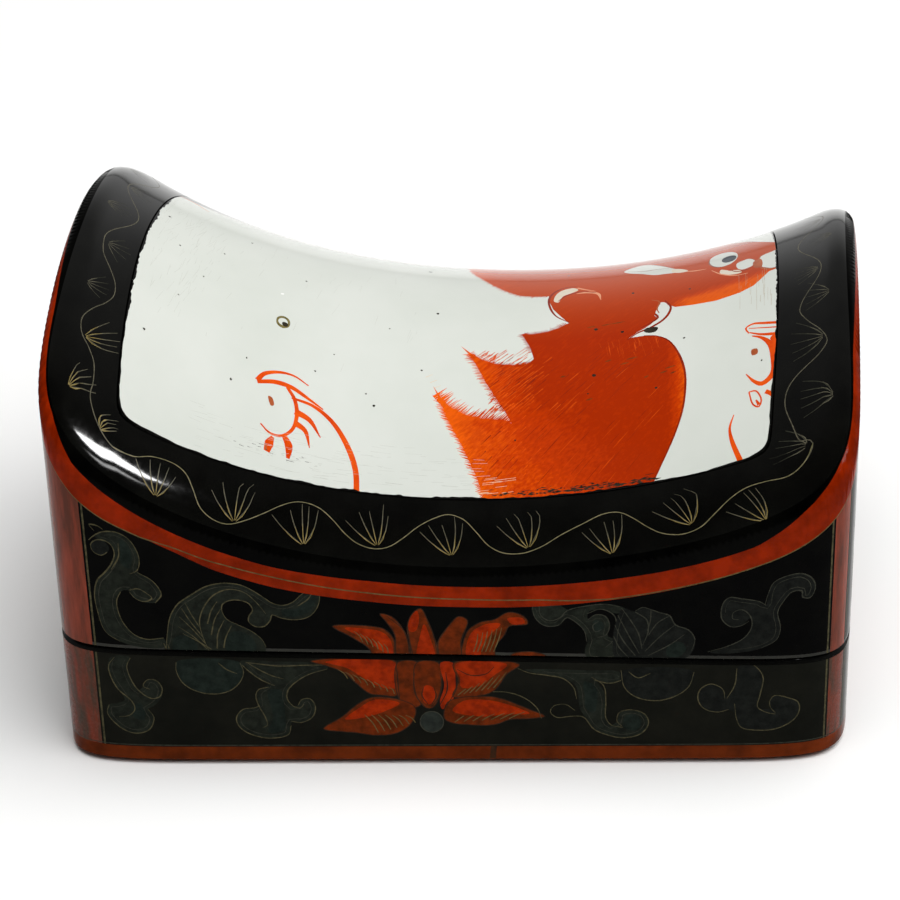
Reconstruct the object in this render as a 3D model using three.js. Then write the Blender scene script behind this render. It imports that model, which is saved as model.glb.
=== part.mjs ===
// Lacquered wooden box in the form of a pillow. Its lift-off lid holds a curved panel of painted porcelain.
// The top is a saddle: hollow from end to end and crowned from front to back. The box is handmade, so its
// plan leans a little, its lid joint drops towards the right end and its top is slightly twisted.
// Millimetres, +Z up, origin under the middle of the box, front face towards -Y.

import * as THREE from "three";

// Plan at the lid joint, seen from above
const jointWidth = 165; // along X
const jointDepth = 109; // along Y
const planPower = 12; // power of the superellipse: higher makes tighter corners
const planLean = 0.066; // X gained for each mm of Y, so that the ends aren't square to the front
const planTaper = 0.0255; // share by which the front is longer than the middle, and the back shorter
const wallFlare = 0.013; // how far each wall leans out for each mm that it rises

// Heights above the surface that the box stands on
const jointHeight = 28.4; // lid joint, in the middle
const jointDrop = 2; // how much lower the joint is at the right end than in the middle
const saddleHeight = 77.8; // lowest point of the saddle's long profile

// Saddle top
const saddleRadius = 172.5; // of the hollow, end to end
const saddleShift = 7.7; // from the middle to the lowest point, towards the right
const leftCurl = 4.6; // extra rise at the left end, where the hollow turns up faster than a circle
const rightCurl = 2.9; // the same at the right end
const crownRadius = 74; // of the crown, front to back
const crownShift = 1; // from the middle to the top of the crown, towards the back
const topTwist = -0.0006; // rise for each square mm of X times Y
const shoulderRadius = 7.2; // of the round edge between wall and top

// Walls, floor and lid joint
const wallThickness = 6.5;
const floorThickness = 6;
const topThickness = 9.5;
const footRound = 1.5; // of the box's lowest edge
const edgeBreak = 0.7; // small bevel along both sides of the joint
const jointGap = 0.3; // between the base and the lid that rests on it
const lipThickness = 2.4; // the base's inner lip, which the lid drops over
const lipHeight = 4.5; // above the joint
const lipClearance = 0.4; // between the lip and the lid's rebate
const cavityFillet = 2.5; // round edge along the floor inside

// Porcelain panel, let into the top inside the lacquered border
const endBorder = 8.7; // level part of the border at the ends, from the shoulder to the panel
const sideBorder = 3.3; // the same along the front and the back
const panelPower = 44; // power of the panel's superellipse, whose corners are nearly square
const panelShift = 1.2; // of the panel towards the left, where the border is narrower
const panelBow = 0.025; // share by which the panel is shorter at its front and back than in the middle
const panelThickness = 4.2;
const panelClearance = 0.3; // all round it and under it

// Mesh fineness
const ringPoints = 80; // round the plan
const cornerShare = 0.45; // share of those points that goes to the corners
const shoulderSteps = 6;
const topRings = 8; // across a curved surface, from the edge to the middle
const floorRings = 2; // across a flat one
const bezierArc = 0.5523; // handle length that makes a cubic curve a quarter circle
const slopeStep = 0.5; // distance over which the top's slope is taken

const topRise = saddleHeight - jointHeight; // from the joint to the saddle

// Direction angles round the plan, spread by length and by turning, so that the corners get enough points
function planAngles() {
  const samples = 7200;
  const halfSides = new THREE.Vector2(jointWidth / 2, jointDepth / 2);
  const outline = [];
  for (let i = 0; i <= samples; i++) {
    const unit = unitSuperellipse((2 * Math.PI * i) / samples, planPower);
    outline.push(unit.multiply(halfSides));
  }
  let perimeter = 0;
  for (let i = 1; i <= samples; i++) perimeter += outline[i].distanceTo(outline[i - 1]);
  const spent = [0];
  for (let i = 1; i <= samples; i++) {
    const before = outline[(i + samples - 2) % samples];
    const arriving = outline[i - 1].clone().sub(before);
    const leaving = outline[i].clone().sub(outline[i - 1]);
    const turning = Math.abs(arriving.angleTo(leaving)) / (2 * Math.PI);
    const length = leaving.length() / perimeter;
    spent.push(spent[i - 1] + cornerShare * turning + (1 - cornerShare) * length);
  }
  const angles = [];
  let at = 0;
  for (let i = 0; i < ringPoints; i++) {
    const wanted = (spent[samples] * i) / ringPoints;
    while (spent[at + 1] < wanted) at++;
    const share = (wanted - spent[at]) / (spent[at + 1] - spent[at]);
    angles.push((2 * Math.PI * (at + share)) / samples);
  }
  return angles;
}

// Point of a superellipse with half sides of 1, in the given direction
function unitSuperellipse(angle, power) {
  const c = Math.cos(angle);
  const s = Math.sin(angle);
  const reach = (Math.abs(c) ** power + Math.abs(s) ** power) ** (-1 / power);
  return new THREE.Vector2(reach * c, reach * s);
}

// Superellipse with these half sides, leaning and tapering as the whole plan does
function leaningOutline(angle, power, halfWidth, halfDepth) {
  const unit = unitSuperellipse(angle, power);
  const y = halfDepth * unit.y;
  const x = halfWidth * unit.x * (1 - planTaper * unit.y) + planLean * y;
  return { x, y };
}

// Outline of the box this far above the joint's middle height and this far inside its outer face
function planPoint(angle, rise, inset) {
  const outwards = wallFlare * rise - inset;
  return leaningOutline(angle, planPower, jointWidth / 2 + outwards, jointDepth / 2 + outwards);
}

// Outline of the porcelain panel, this far inside its edge
function panelPoint(angle, inset) {
  const outwards = wallFlare * topRise - shoulderRadius - inset;
  const halfWidth = jointWidth / 2 + outwards - endBorder;
  const halfDepth = jointDepth / 2 + outwards - sideBorder;
  const point = leaningOutline(angle, panelPower, halfWidth, halfDepth);
  const leaning = planLean * point.y;
  const bowed = 1 - panelBow * (point.y / halfDepth) ** 2;
  return { x: (point.x - leaning) * bowed + leaning - panelShift, y: point.y };
}

function saddleZ(x, y) {
  const along = x - saddleShift;
  const across = y - crownShift;
  const hollow = saddleRadius - Math.sqrt(saddleRadius ** 2 - along ** 2);
  const curl = (along < 0 ? leftCurl : rightCurl) * (along / (jointWidth / 2)) ** 4;
  const crown = crownRadius - Math.sqrt(crownRadius ** 2 - across ** 2);
  return saddleHeight + hollow + curl - crown + topTwist * x * y;
}

function jointZ(x) {
  return jointHeight - (jointDrop * x) / (jointWidth / 2);
}

const angles = planAngles();

// A ring of points: outline gives x and y from a direction, height gives z from that point
function ring(outline, height) {
  return angles.map((angle) => {
    const point = outline(angle);
    return new THREE.Vector3(point.x, point.y, height(point.x, point.y));
  });
}

// Rings from the middle of a surface out to an outline, or back in
function spread(outline, height, count) {
  const rings = [];
  for (let i = 1; i <= count; i++) {
    const shrunk = (angle) => {
      const point = outline(angle);
      return { x: (point.x * i) / count, y: (point.y * i) / count };
    };
    rings.push(ring(shrunk, height));
  }
  return rings;
}

// Closed solid through rings that run from the middle of its top, outwards and down, to that of its base
function loft(rings, topCentreZ, bottomCentreZ) {
  const points = rings.flat();
  const topCentre = new THREE.Vector3(0, 0, topCentreZ);
  const bottomCentre = new THREE.Vector3(0, 0, bottomCentreZ);
  const count = ringPoints;
  const top = points.length;
  const bottom = top + 1;
  const faces = [];
  for (let j = 0; j < count; j++) {
    const next = (j + 1) % count;
    faces.push(top, j, next);
    for (let i = 0; i + 1 < rings.length; i++) {
      const upper = i * count;
      const lower = upper + count;
      faces.push(upper + j, lower + j, lower + next);
      faces.push(upper + j, lower + next, upper + next);
    }
    const last = (rings.length - 1) * count;
    faces.push(last + j, bottom, last + next);
  }
  const geometry = new THREE.BufferGeometry().setFromPoints([...points, topCentre, bottomCentre]);
  geometry.setIndex(faces);
  geometry.computeVertexNormals();
  return geometry;
}

// The round shoulder between saddle and wall, as rings from the saddle down to the wall
function shoulderRings() {
  const corners = angles.map((angle) => {
    const wall = planPoint(angle, topRise, 0);
    const inner = planPoint(angle, topRise, shoulderRadius);
    const innerZ = saddleZ(inner.x, inner.y);
    const probe = planPoint(angle, topRise, shoulderRadius + slopeStep);
    const slope = (saddleZ(probe.x, probe.y) - innerZ) / slopeStep;
    const cornerZ = innerZ - slope * shoulderRadius;
    return {
      start: new THREE.Vector3(inner.x, inner.y, innerZ),
      corner: new THREE.Vector3(wall.x, wall.y, cornerZ),
      end: new THREE.Vector3(wall.x, wall.y, cornerZ - shoulderRadius),
    };
  });
  const curves = corners.map(({ start, corner, end }) => {
    const startHandle = start.clone().lerp(corner, bezierArc);
    const endHandle = end.clone().lerp(corner, bezierArc);
    return new THREE.CubicBezierCurve3(start, startHandle, endHandle, end);
  });
  const rings = [];
  for (let i = 0; i <= shoulderSteps; i++) {
    rings.push(curves.map((curve) => curve.getPoint(i / shoulderSteps)));
  }
  return rings;
}

function makeBase() {
  const floor = () => floorThickness;
  const cavity = (angle) => planPoint(angle, 0, wallThickness);
  const cavityFoot = (angle) => planPoint(angle, 0, wallThickness + cavityFillet);
  const lipOuter = (angle) => planPoint(angle, 0, wallThickness - lipThickness);
  const joint = (x) => jointZ(x) - jointGap / 2;
  const rings = [
    ...spread(cavityFoot, floor, floorRings),
    ring(cavity, () => floorThickness + cavityFillet),
    ring(cavity, (x) => joint(x) + lipHeight),
    ring(lipOuter, (x) => joint(x) + lipHeight),
    ring(lipOuter, joint),
    ring((angle) => planPoint(angle, 0, edgeBreak), joint),
    ring((angle) => planPoint(angle, 0, 0), (x) => joint(x) - edgeBreak),
    ring((angle) => planPoint(angle, footRound - jointHeight, 0), () => footRound),
    ...spread((angle) => planPoint(angle, -jointHeight, footRound), () => 0, floorRings).reverse(),
  ];
  return loft(rings, floorThickness, 0);
}

function makeLid() {
  const pocket = (angle) => panelPoint(angle, -panelClearance);
  const pocketFloor = (x, y) => saddleZ(x, y) - panelThickness - panelClearance;
  const rimMiddle = (angle) => {
    const inner = pocket(angle);
    const outer = planPoint(angle, topRise, shoulderRadius);
    return { x: (inner.x + outer.x) / 2, y: (inner.y + outer.y) / 2 };
  };
  const ceiling = (x, y) => saddleZ(x, y) - topThickness;
  const cavity = (angle) => planPoint(angle, 0, wallThickness);
  const rebate = (angle) => planPoint(angle, 0, wallThickness - lipThickness - lipClearance);
  const joint = (x) => jointZ(x) + jointGap / 2;
  const rebateTop = (x) => joint(x) + lipHeight + lipClearance;
  const rings = [
    ...spread(pocket, pocketFloor, topRings),
    ring(pocket, saddleZ),
    ring(rimMiddle, saddleZ),
    ...shoulderRings(),
    ring((angle) => planPoint(angle, 0, 0), (x) => joint(x) + edgeBreak),
    ring((angle) => planPoint(angle, 0, edgeBreak), joint),
    ring(rebate, joint),
    ring(rebate, rebateTop),
    ring(cavity, rebateTop),
    ...spread(cavity, ceiling, topRings).reverse(),
  ];
  return loft(rings, pocketFloor(0, 0), ceiling(0, 0));
}

function makePanel() {
  const edge = (angle) => panelPoint(angle, 0);
  const underside = (x, y) => saddleZ(x, y) - panelThickness;
  const rings = [...spread(edge, saddleZ, topRings), ...spread(edge, underside, topRings).reverse()];
  return loft(rings, saddleZ(0, 0), underside(0, 0));
}

const blackLacquer = new THREE.MeshStandardMaterial({ color: 0x14130f, roughness: 0.12, metalness: 0 });
const porcelain = new THREE.MeshStandardMaterial({ color: 0xe2e4de, roughness: 0.1, metalness: 0 });

const box = new THREE.Group();

function addPart(name, geometry, material) {
  const mesh = new THREE.Mesh(geometry, material);
  mesh.name = name;
  box.add(mesh);
}

addPart("base", makeBase(), blackLacquer.clone());
addPart("lid", makeLid(), blackLacquer.clone());
addPart("porcelain_panel", makePanel(), porcelain);

export default box;
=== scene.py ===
import math

import bpy
import numpy as np
from mathutils import Matrix, Vector
from mathutils.geometry import delaunay_2d_cdt


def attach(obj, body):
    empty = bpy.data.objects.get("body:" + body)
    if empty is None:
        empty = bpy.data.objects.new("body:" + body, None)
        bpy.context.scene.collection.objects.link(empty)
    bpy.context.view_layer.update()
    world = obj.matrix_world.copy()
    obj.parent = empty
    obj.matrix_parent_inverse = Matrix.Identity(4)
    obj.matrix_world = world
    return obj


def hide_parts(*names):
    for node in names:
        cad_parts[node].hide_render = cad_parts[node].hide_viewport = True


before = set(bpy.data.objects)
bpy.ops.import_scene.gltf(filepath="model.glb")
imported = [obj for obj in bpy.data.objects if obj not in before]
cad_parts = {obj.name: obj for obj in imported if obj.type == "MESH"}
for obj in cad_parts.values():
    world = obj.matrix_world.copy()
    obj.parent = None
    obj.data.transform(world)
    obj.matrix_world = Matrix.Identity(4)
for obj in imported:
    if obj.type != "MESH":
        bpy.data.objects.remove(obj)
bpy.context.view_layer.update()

MM = 0.001

# Shape of the box in millimetres, as in the part's source
JOINT_WIDTH, JOINT_DEPTH = 165.0, 109.0
PLAN_POWER, PLAN_LEAN, PLAN_TAPER, WALL_FLARE = 12, 0.066, 0.0255, 0.013
JOINT_HEIGHT, JOINT_DROP, SADDLE_HEIGHT = 28.4, 2.0, 77.8
SADDLE_RADIUS, SADDLE_SHIFT, LEFT_CURL, RIGHT_CURL = 172.5, 7.7, 4.6, 2.9
CROWN_RADIUS, CROWN_SHIFT, TOP_TWIST, SHOULDER = 74.0, 1.0, -0.0006, 7.2
WALL, FLOOR, TOP, FOOT_ROUND, EDGE_BREAK, JOINT_GAP = 6.5, 6.0, 9.5, 1.5, 0.7, 0.3
LIP, LIP_HEIGHT, LIP_CLEARANCE, FILLET = 2.4, 4.5, 0.4, 2.5
END_BORDER, SIDE_BORDER, PANEL_POWER, PANEL_SHIFT, PANEL_BOW = 8.7, 3.3, 44, 1.2, 0.025
PANEL_THICKNESS, PANEL_CLEARANCE = 4.2, 0.3
TOP_RISE = SADDLE_HEIGHT - JOINT_HEIGHT
CIRCLE_HANDLE = 0.5523
SLOPE_STEP = 0.5
RING_STEPS = 14400
TABLE_STEPS = 1800
FRONT_HALF = 110
MERGE_DISTANCE = 1e-5
NORMAL_STEP = 0.05
WAVE_WIDTH, WAVE_SHINE_WIDTH = 0.2, 0.13


def leaning_outline(angle, power, half_width, half_depth):
    c, s = np.cos(angle), np.sin(angle)
    reach = (np.abs(c) ** power + np.abs(s) ** power) ** (-1 / power)
    y = half_depth * reach * s
    return half_width * reach * c * (1 - PLAN_TAPER * reach * s) + PLAN_LEAN * y, y


def plan_point(angle, rise, inset):
    out = WALL_FLARE * rise - inset
    return leaning_outline(angle, PLAN_POWER, JOINT_WIDTH / 2 + out, JOINT_DEPTH / 2 + out)


def panel_point(angle, inset):
    out = WALL_FLARE * TOP_RISE - SHOULDER - inset
    half_depth = JOINT_DEPTH / 2 + out - SIDE_BORDER
    x, y = leaning_outline(angle, PANEL_POWER, JOINT_WIDTH / 2 + out - END_BORDER, half_depth)
    bowed = 1 - PANEL_BOW * (y / half_depth) ** 2
    return (x - PLAN_LEAN * y) * bowed + PLAN_LEAN * y - PANEL_SHIFT, y


def saddle_z(x, y):
    along, across = x - SADDLE_SHIFT, y - CROWN_SHIFT
    hollow = SADDLE_RADIUS - np.sqrt(SADDLE_RADIUS**2 - along**2)
    curl = np.where(along < 0, LEFT_CURL, RIGHT_CURL) * (along / (JOINT_WIDTH / 2)) ** 4
    crown = CROWN_RADIUS - np.sqrt(CROWN_RADIUS**2 - across**2)
    return SADDLE_HEIGHT + hollow + curl - crown + TOP_TWIST * x * y


def joint_z(x):
    return JOINT_HEIGHT - JOINT_DROP * x / (JOINT_WIDTH / 2)


# Distance q round the plan, from the middle of the front towards the right, and its direction
ring_angles = np.linspace(-math.pi / 2 - math.pi, -math.pi / 2 + math.pi, RING_STEPS + 1)
ring_x, ring_y = plan_point(ring_angles, 0, 0)
ring_q = np.r_[0, np.cumsum(np.hypot(np.diff(ring_x), np.diff(ring_y)))]
ring_q -= ring_q[RING_STEPS // 2]
HALF_ROUND = min(ring_q[-1], -ring_q[0])
ring_q *= HALF_ROUND / np.where(ring_q < 0, -ring_q[0], ring_q[-1])


def angle_at(q):
    return np.interp(q, ring_q, ring_angles)


# Lid: v runs up the outside, below 0 on the wall and above 0 on the shoulder and the border
def lid_frame(q):
    """Points up the outside of the lid at each q, their lengths along it, and the foot of the wall"""
    angle = angle_at(q)
    wall = np.stack(plan_point(angle, TOP_RISE, 0), -1)
    inner = np.stack(plan_point(angle, TOP_RISE, SHOULDER), -1)
    probe = np.stack(plan_point(angle, TOP_RISE, SHOULDER + SLOPE_STEP), -1)
    inner_z = saddle_z(inner[..., 0], inner[..., 1])
    slope = (saddle_z(probe[..., 0], probe[..., 1]) - inner_z) / SLOPE_STEP
    corner_z = inner_z - slope * SHOULDER
    start = np.concatenate([inner, inner_z[..., None]], -1)
    corner = np.concatenate([wall, corner_z[..., None]], -1)
    end = corner - np.array([0, 0, SHOULDER])
    handles = start + (corner - start) * CIRCLE_HANDLE, end + (corner - end) * CIRCLE_HANDLE
    pocket = np.stack(panel_point(angle, -PANEL_CLEARANCE), -1)
    low = np.stack(plan_point(angle, 0, 0), -1)
    low = np.concatenate([low, (joint_z(low[..., 0]) + JOINT_GAP / 2 + EDGE_BREAK)[..., None]], -1)
    k = np.linspace(0, 1, 25)[:, None, None]
    curve = end * (1 - k) ** 3 + 3 * handles[1] * k * (1 - k) ** 2
    curve = curve + 3 * handles[0] * k**2 * (1 - k) + start * k**3
    k = np.linspace(0, 1, 7)[1:, None, None]
    flat = inner + (pocket - inner) * k
    flat = np.concatenate([flat, saddle_z(flat[..., 0], flat[..., 1])[..., None]], -1)
    track = np.concatenate([curve, flat])
    pieces = np.linalg.norm(np.diff(track, axis=0), axis=2)
    length = np.concatenate([np.zeros((1, len(angle))), np.cumsum(pieces, 0)])
    return track, length, low


TABLE_Q = np.linspace(-HALF_ROUND, HALF_ROUND, TABLE_STEPS + 1)
TRACK, LENGTH, LOW = lid_frame(TABLE_Q)
LID_LOW = -np.linalg.norm(TRACK[0] - LOW, axis=1)
LID_HIGH = LENGTH[-1]


def lid_low(q):
    return np.interp(q, TABLE_Q, LID_LOW)


def lid_high(q):
    return np.interp(q, TABLE_Q, LID_HIGH)


def lid_surface(q, v):
    """Points of the lid's outside at the sheet's coordinates"""
    q = np.clip(q, -HALF_ROUND, HALF_ROUND)
    place = (q + HALF_ROUND) / (2 * HALF_ROUND) * (len(TABLE_Q) - 1)
    column = np.minimum(place.astype(int), len(TABLE_Q) - 2)
    share = place - column

    def at(columns):
        lengths, tracks = LENGTH[:, columns], TRACK[:, columns]
        row = np.clip((lengths <= v).sum(0) - 1, 0, len(lengths) - 2)
        pick = np.arange(len(v))
        a, b = lengths[row, pick], lengths[row + 1, pick]
        k = ((v - a) / (b - a))[:, None]
        up = tracks[row, pick] * (1 - k) + tracks[row + 1, pick] * k
        k = (v / LID_LOW[columns])[:, None]
        down = tracks[0, pick] * (1 - k) + LOW[columns] * k
        return np.where((v < 0)[:, None], down, up)

    return at(column) * (1 - share[:, None]) + at(column + 1) * share[:, None]


# Base: v is the height above the floor
def base_low(q):
    return np.full(np.shape(q), FOOT_ROUND)


def base_high(q):
    return joint_z(plan_point(angle_at(q), 0, 0)[0]) - JOINT_GAP / 2 - EDGE_BREAK


def base_surface(q, v):
    x, y = plan_point(angle_at(q), v - JOINT_HEIGHT, 0)
    return np.stack([x, y, v], -1)


def panel_surface(x, y):
    return np.stack([x, y, saddle_z(x, y)], -1)


# Front wall: millimetres along X and up Z to the sheet's own coordinates
front_half = np.abs(ring_q) < FRONT_HALF


def front_q(x):
    return np.interp(x, ring_x[front_half], ring_q[front_half])


def shoulder_end(q):
    return np.interp(q, TABLE_Q, TRACK[0, :, 2])


def on_front(points):
    points = np.asarray(points, float)
    return np.stack([front_q(points[:, 0]), points[:, 1]], -1)


def on_lid_front(points):
    q, z = on_front(points).T
    return np.stack([q, z - shoulder_end(q)], -1)


# Lines and areas drawn on a sheet
def smooth(points, closed=False, step=1.0):
    """Points along a smooth curve through the given ones"""
    points = np.asarray(points, float)
    n = len(points)
    if n < 3 and not closed:
        count = max(2, int(np.ceil(np.linalg.norm(points[-1] - points[0]) / step)) + 1)
        return points[0] + (points[-1] - points[0]) * np.linspace(0, 1, count)[:, None]
    out = []
    for i in range(n if closed else n - 1):
        a, b = points[i], points[(i + 1) % n]
        before = points[(i - 1) % n] if closed or i > 0 else 2 * a - b
        after = points[(i + 2) % n] if closed or i + 2 < n else 2 * b - a
        d0, d1, d2 = (max(np.linalg.norm(d), 1e-6) ** 0.5 for d in (a - before, b - a, after - b))
        m1 = (a - before) / d0 - (b - before) / (d0 + d1) + (b - a) / d1
        m2 = (b - a) / d1 - (after - a) / (d1 + d2) + (after - b) / d2
        m1, m2 = m1 * d1, m2 * d1
        count = max(1, int(np.ceil(np.linalg.norm(b - a) / step)))
        for k in np.arange(count) / count:
            out.append(
                (2 * k**3 - 3 * k**2 + 1) * a + (k**3 - 2 * k**2 + k) * m1
                + (3 * k**2 - 2 * k**3) * b + (k**3 - k**2) * m2
            )
    if not closed:
        out.append(points[-1])
    return np.array(out)


class Sheet:
    """An unrolled surface with painted areas, turned into faces with one material each"""

    def __init__(self, wrap=0.0):
        self.shapes = []
        self.wrap = wrap

    def area(self, points, material):
        points = np.asarray(points, float)
        x, y = points.T
        turn = np.sum(x * np.roll(y, -1) - np.roll(x, -1) * y)
        if turn < 0:
            points = points[::-1]
        for side in (-1, 0, 1) if self.wrap else (0,):
            moved = points + [side * 2 * self.wrap, 0]
            if not self.wrap or (np.abs(moved[:, 0]) <= self.wrap).any():
                self.shapes.append((moved, material))

    def blob(self, points, material, step=1.0):
        self.area(smooth(points, closed=True, step=step), material)

    def stroke(self, points, widths, material, step=1.0, curved=True):
        """A line of changing width, as a row of four-sided pieces"""
        line = smooth(points, step=step) if curved else np.asarray(points, float)
        along = np.r_[0, np.cumsum(np.linalg.norm(np.diff(line, axis=0), axis=1))]
        widths = np.atleast_1d(np.asarray(widths, float))
        width = np.interp(along / along[-1], np.linspace(0, 1, len(widths)), widths)
        ahead = np.gradient(line, axis=0)
        ahead /= np.maximum(np.linalg.norm(ahead, axis=1), 1e-9)[:, None]
        side = np.stack([-ahead[:, 1], ahead[:, 0]], -1) * width[:, None] / 2
        left, right = line + side, line - side
        for i in range(len(line) - 1):
            self.area([left[i], right[i], right[i + 1], left[i + 1]], material)


def build_sheet(sheet, outline, grid, first_material):
    """Triangles of the sheet inside the outline, with each face's material"""
    points = [Vector(p) for p in outline]
    faces = [list(range(len(outline)))]
    for shape, _ in sheet.shapes:
        start = len(points)
        points += [Vector(p) for p in shape]
        faces.append(list(range(start, start + len(shape))))
    points += [Vector(p) for p in grid]
    verts, _, tris, _, _, owners = delaunay_2d_cdt(points, [], faces, 0, MERGE_DISTANCE, True)
    materials = [first_material] + [m for _, m in sheet.shapes]
    kept = [(tri, materials[max(owner)]) for tri, owner in zip(tris, owners) if owner and 0 in owner]
    return np.array([(v.x, v.y) for v in verts]), [t for t, _ in kept], [m for _, m in kept]


# Closed bodies made of sheets and plain strips
class Body:
    def __init__(self, name):
        self.name = name
        self.verts, self.faces, self.groups, self.materials, self.normals = [], [], [], [], {}

    def add(self, points):
        start = len(self.verts)
        self.verts += [tuple(p) for p in points]
        return list(range(start, start + len(points)))

    def face(self, indices, group, material):
        if len(set(indices)) < 3:
            return
        self.faces.append(tuple(indices))
        self.groups.append(group)
        self.materials.append(material)

    def finish(self, node):
        mesh = bpy.data.meshes.new(self.name)
        verts = np.array(self.verts)
        mesh.from_pydata(verts * MM, [], self.faces)
        names = []
        for material in self.materials:
            if material not in names:
                names.append(material)
        for material in names:
            mesh.materials.append(MATERIALS[material])
        mesh.polygons.foreach_set("material_index", [names.index(m) for m in self.materials])
        mesh.polygons.foreach_set("use_smooth", [True] * len(self.faces))
        sums = {}
        for indices, group in zip(self.faces, self.groups):
            if group == "sheet":
                continue
            p = verts[list(indices)]
            normal = np.cross(p[1] - p[0], p[2] - p[0])
            if len(indices) == 4:
                normal = normal + np.cross(p[2] - p[0], p[3] - p[0])
            for i in indices:
                sums[i, group] = sums.get((i, group), 0) + normal
        loops = []
        for indices, group in zip(self.faces, self.groups):
            for i in indices:
                normal = self.normals[i] if group == "sheet" else sums[i, group]
                loops.append(normal / max(np.linalg.norm(normal), 1e-12))
        mesh.normals_split_custom_set(loops)
        mesh.update()
        piece = bpy.data.objects.new(self.name, mesh)
        bpy.context.scene.collection.objects.link(piece)
        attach(piece, "root")
        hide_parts(node)


def sheet_body(body, sheet, surface, outline, grid, first_material, wrap=0.0):
    """Adds the sheet to the body and returns its boundary loops: vertex numbers with their places"""
    flat, tris, materials = build_sheet(sheet, outline, grid, first_material)
    used = np.zeros(len(flat), bool)
    for tri in tris:
        used[tri] = True
    key_of, number, places = {}, {}, []
    for i in np.nonzero(used)[0]:
        a, b = flat[i]
        if wrap and abs(a) > wrap - 1e-3:
            key = ("seam", round(b, 2))
        else:
            key = (round(a, 4), round(b, 4))
        if key not in key_of:
            key_of[key] = len(places)
            places.append((a, b))
        number[i] = key_of[key]
    places = np.array(places)
    points = surface(places[:, 0], places[:, 1])
    a, b = places.T
    h = NORMAL_STEP
    normals = np.cross(surface(a + h, b) - surface(a - h, b), surface(a, b + h) - surface(a, b - h))
    start = len(body.verts)
    body.add(points)
    count = {}
    for tri, material in zip(tris, materials):
        ids = [start + number[i] for i in tri]
        if len(set(ids)) < 3:
            continue
        body.face(ids, "sheet", material)
        for k in range(3):
            a, b = ids[k], ids[(k + 1) % 3]
            count[a, b] = count.get((a, b), 0) + 1
    for i, normal in enumerate(normals):
        body.normals[start + i] = normal
    follow = {a: b for (a, b) in count if (b, a) not in count}
    loops = []
    while follow:
        first = next(iter(follow))
        loop, at = [], first
        while at in follow:
            loop.append(at)
            at = follow.pop(at)
        loops.append((loop, places[np.array(loop) - start]))
    return loops


# Shares of the way from the middle at which a flat or domed face has its rings
INWARD = np.arange(8, 0, -1) / 8


def strips(body, loop, rings, centre, material, first_material):
    """Rows of faces from a boundary loop through rings of points, closed by a point in the middle"""
    last = loop
    for number, ring in enumerate(rings):
        row = body.add(ring)
        name = material if number else first_material
        for j in range(len(row)):
            k = (j + 1) % len(row)
            body.face([last[k], last[j], row[j], row[k]], ("row", id(rings), number), name)
        last = row
    middle = body.add([centre])[0]
    for j in range(len(last)):
        body.face([last[(j + 1) % len(last)], last[j], middle], ("cap", id(rings)), material)


def ring_rows(*rows):
    return [np.stack(row, -1) for row in rows]


# Materials
MATERIALS = {}


class Nodes:
    """A short way to build a node material"""

    def __init__(self, name):
        self.material = bpy.data.materials.new(name)
        self.material.use_nodes = True
        self.tree = self.material.node_tree
        self.shader = self.tree.nodes["Principled BSDF"]
        self.place = self.tree.nodes.new("ShaderNodeTexCoord").outputs["Object"]
        MATERIALS[name] = self.material

    def node(self, kind, **sockets):
        made = self.tree.nodes.new("ShaderNode" + kind)
        for key, value in sockets.items():
            self.put(made.inputs[key.replace("_", " ")], value)
        return made

    def put(self, socket, value):
        if isinstance(value, bpy.types.NodeSocket):
            self.tree.links.new(value, socket)
        else:
            socket.default_value = value

    def noise(self, scale, detail=3.0, rough=0.55, place=None, stretch=None):
        place = place or self.place
        if stretch:
            place = self.mapping(place, stretch)
        made = self.node("TexNoise", Vector=place, Scale=scale, Detail=detail, Roughness=rough)
        return made.outputs["Fac"]

    def mapping(self, place, scale=(1, 1, 1), turned=0.0):
        made = self.node("Mapping", Vector=place)
        made.inputs["Scale"].default_value = scale
        made.inputs["Rotation"].default_value = (0, 0, turned)
        return made.outputs["Vector"]

    def math(self, kind, a, b=0.0, c=0.0, clamp=False):
        made = self.tree.nodes.new("ShaderNodeMath")
        made.operation = kind
        made.use_clamp = clamp
        for socket, value in zip(made.inputs, (a, b, c)):
            self.put(socket, value)
        return made.outputs[0]

    def span(self, value, low, high, to_low=0.0, to_high=1.0):
        made = self.node("MapRange", Value=value)
        for key, number in (("From Min", low), ("From Max", high), ("To Min", to_low), ("To Max", to_high)):
            self.put(made.inputs[key], number)
        return made.outputs["Result"]

    def blend(self, factor, a, b):
        made = self.tree.nodes.new("ShaderNodeMix")
        made.data_type = "RGBA"
        self.put(made.inputs[0], factor)
        self.put(made.inputs[6], a)
        self.put(made.inputs[7], b)
        return made.outputs[2]

    def bump(self, height, distance, strength=1.0):
        made = self.node("Bump", Height=height, Distance=distance, Strength=strength)
        return made.outputs["Normal"]

    def set(self, **sockets):
        for key, value in sockets.items():
            self.put(self.shader.inputs[key.replace("_", " ")], value)


def colour(*rgb):
    """An sRGB colour of 0 to 255 as the shader's linear one"""
    return tuple(((c / 255 + 0.055) / 1.055) ** 2.4 if c > 10 else c / 255 / 12.92 for c in rgb) + (1.0,)


def lacquer_like(name, dark, light, rough, ior, scale, stretch=None):
    """Lacquer or paint on it, mottled between two tones, with a haze in its shine"""
    n = Nodes(name)
    mottle = n.noise(scale, 4, 0.6, stretch=stretch)
    tone = n.blend(n.span(mottle, 0.35, 0.65), colour(*dark), colour(*light))
    haze = n.noise(900, 2, 0.5)
    n.set(Base_Color=tone, Roughness=n.span(haze, 0.3, 0.75, rough * 0.8, rough * 1.35), IOR=ior)
    n.set(Normal=n.bump(n.noise(60, 2, 0.5), 0.00006, 0.35))


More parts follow.
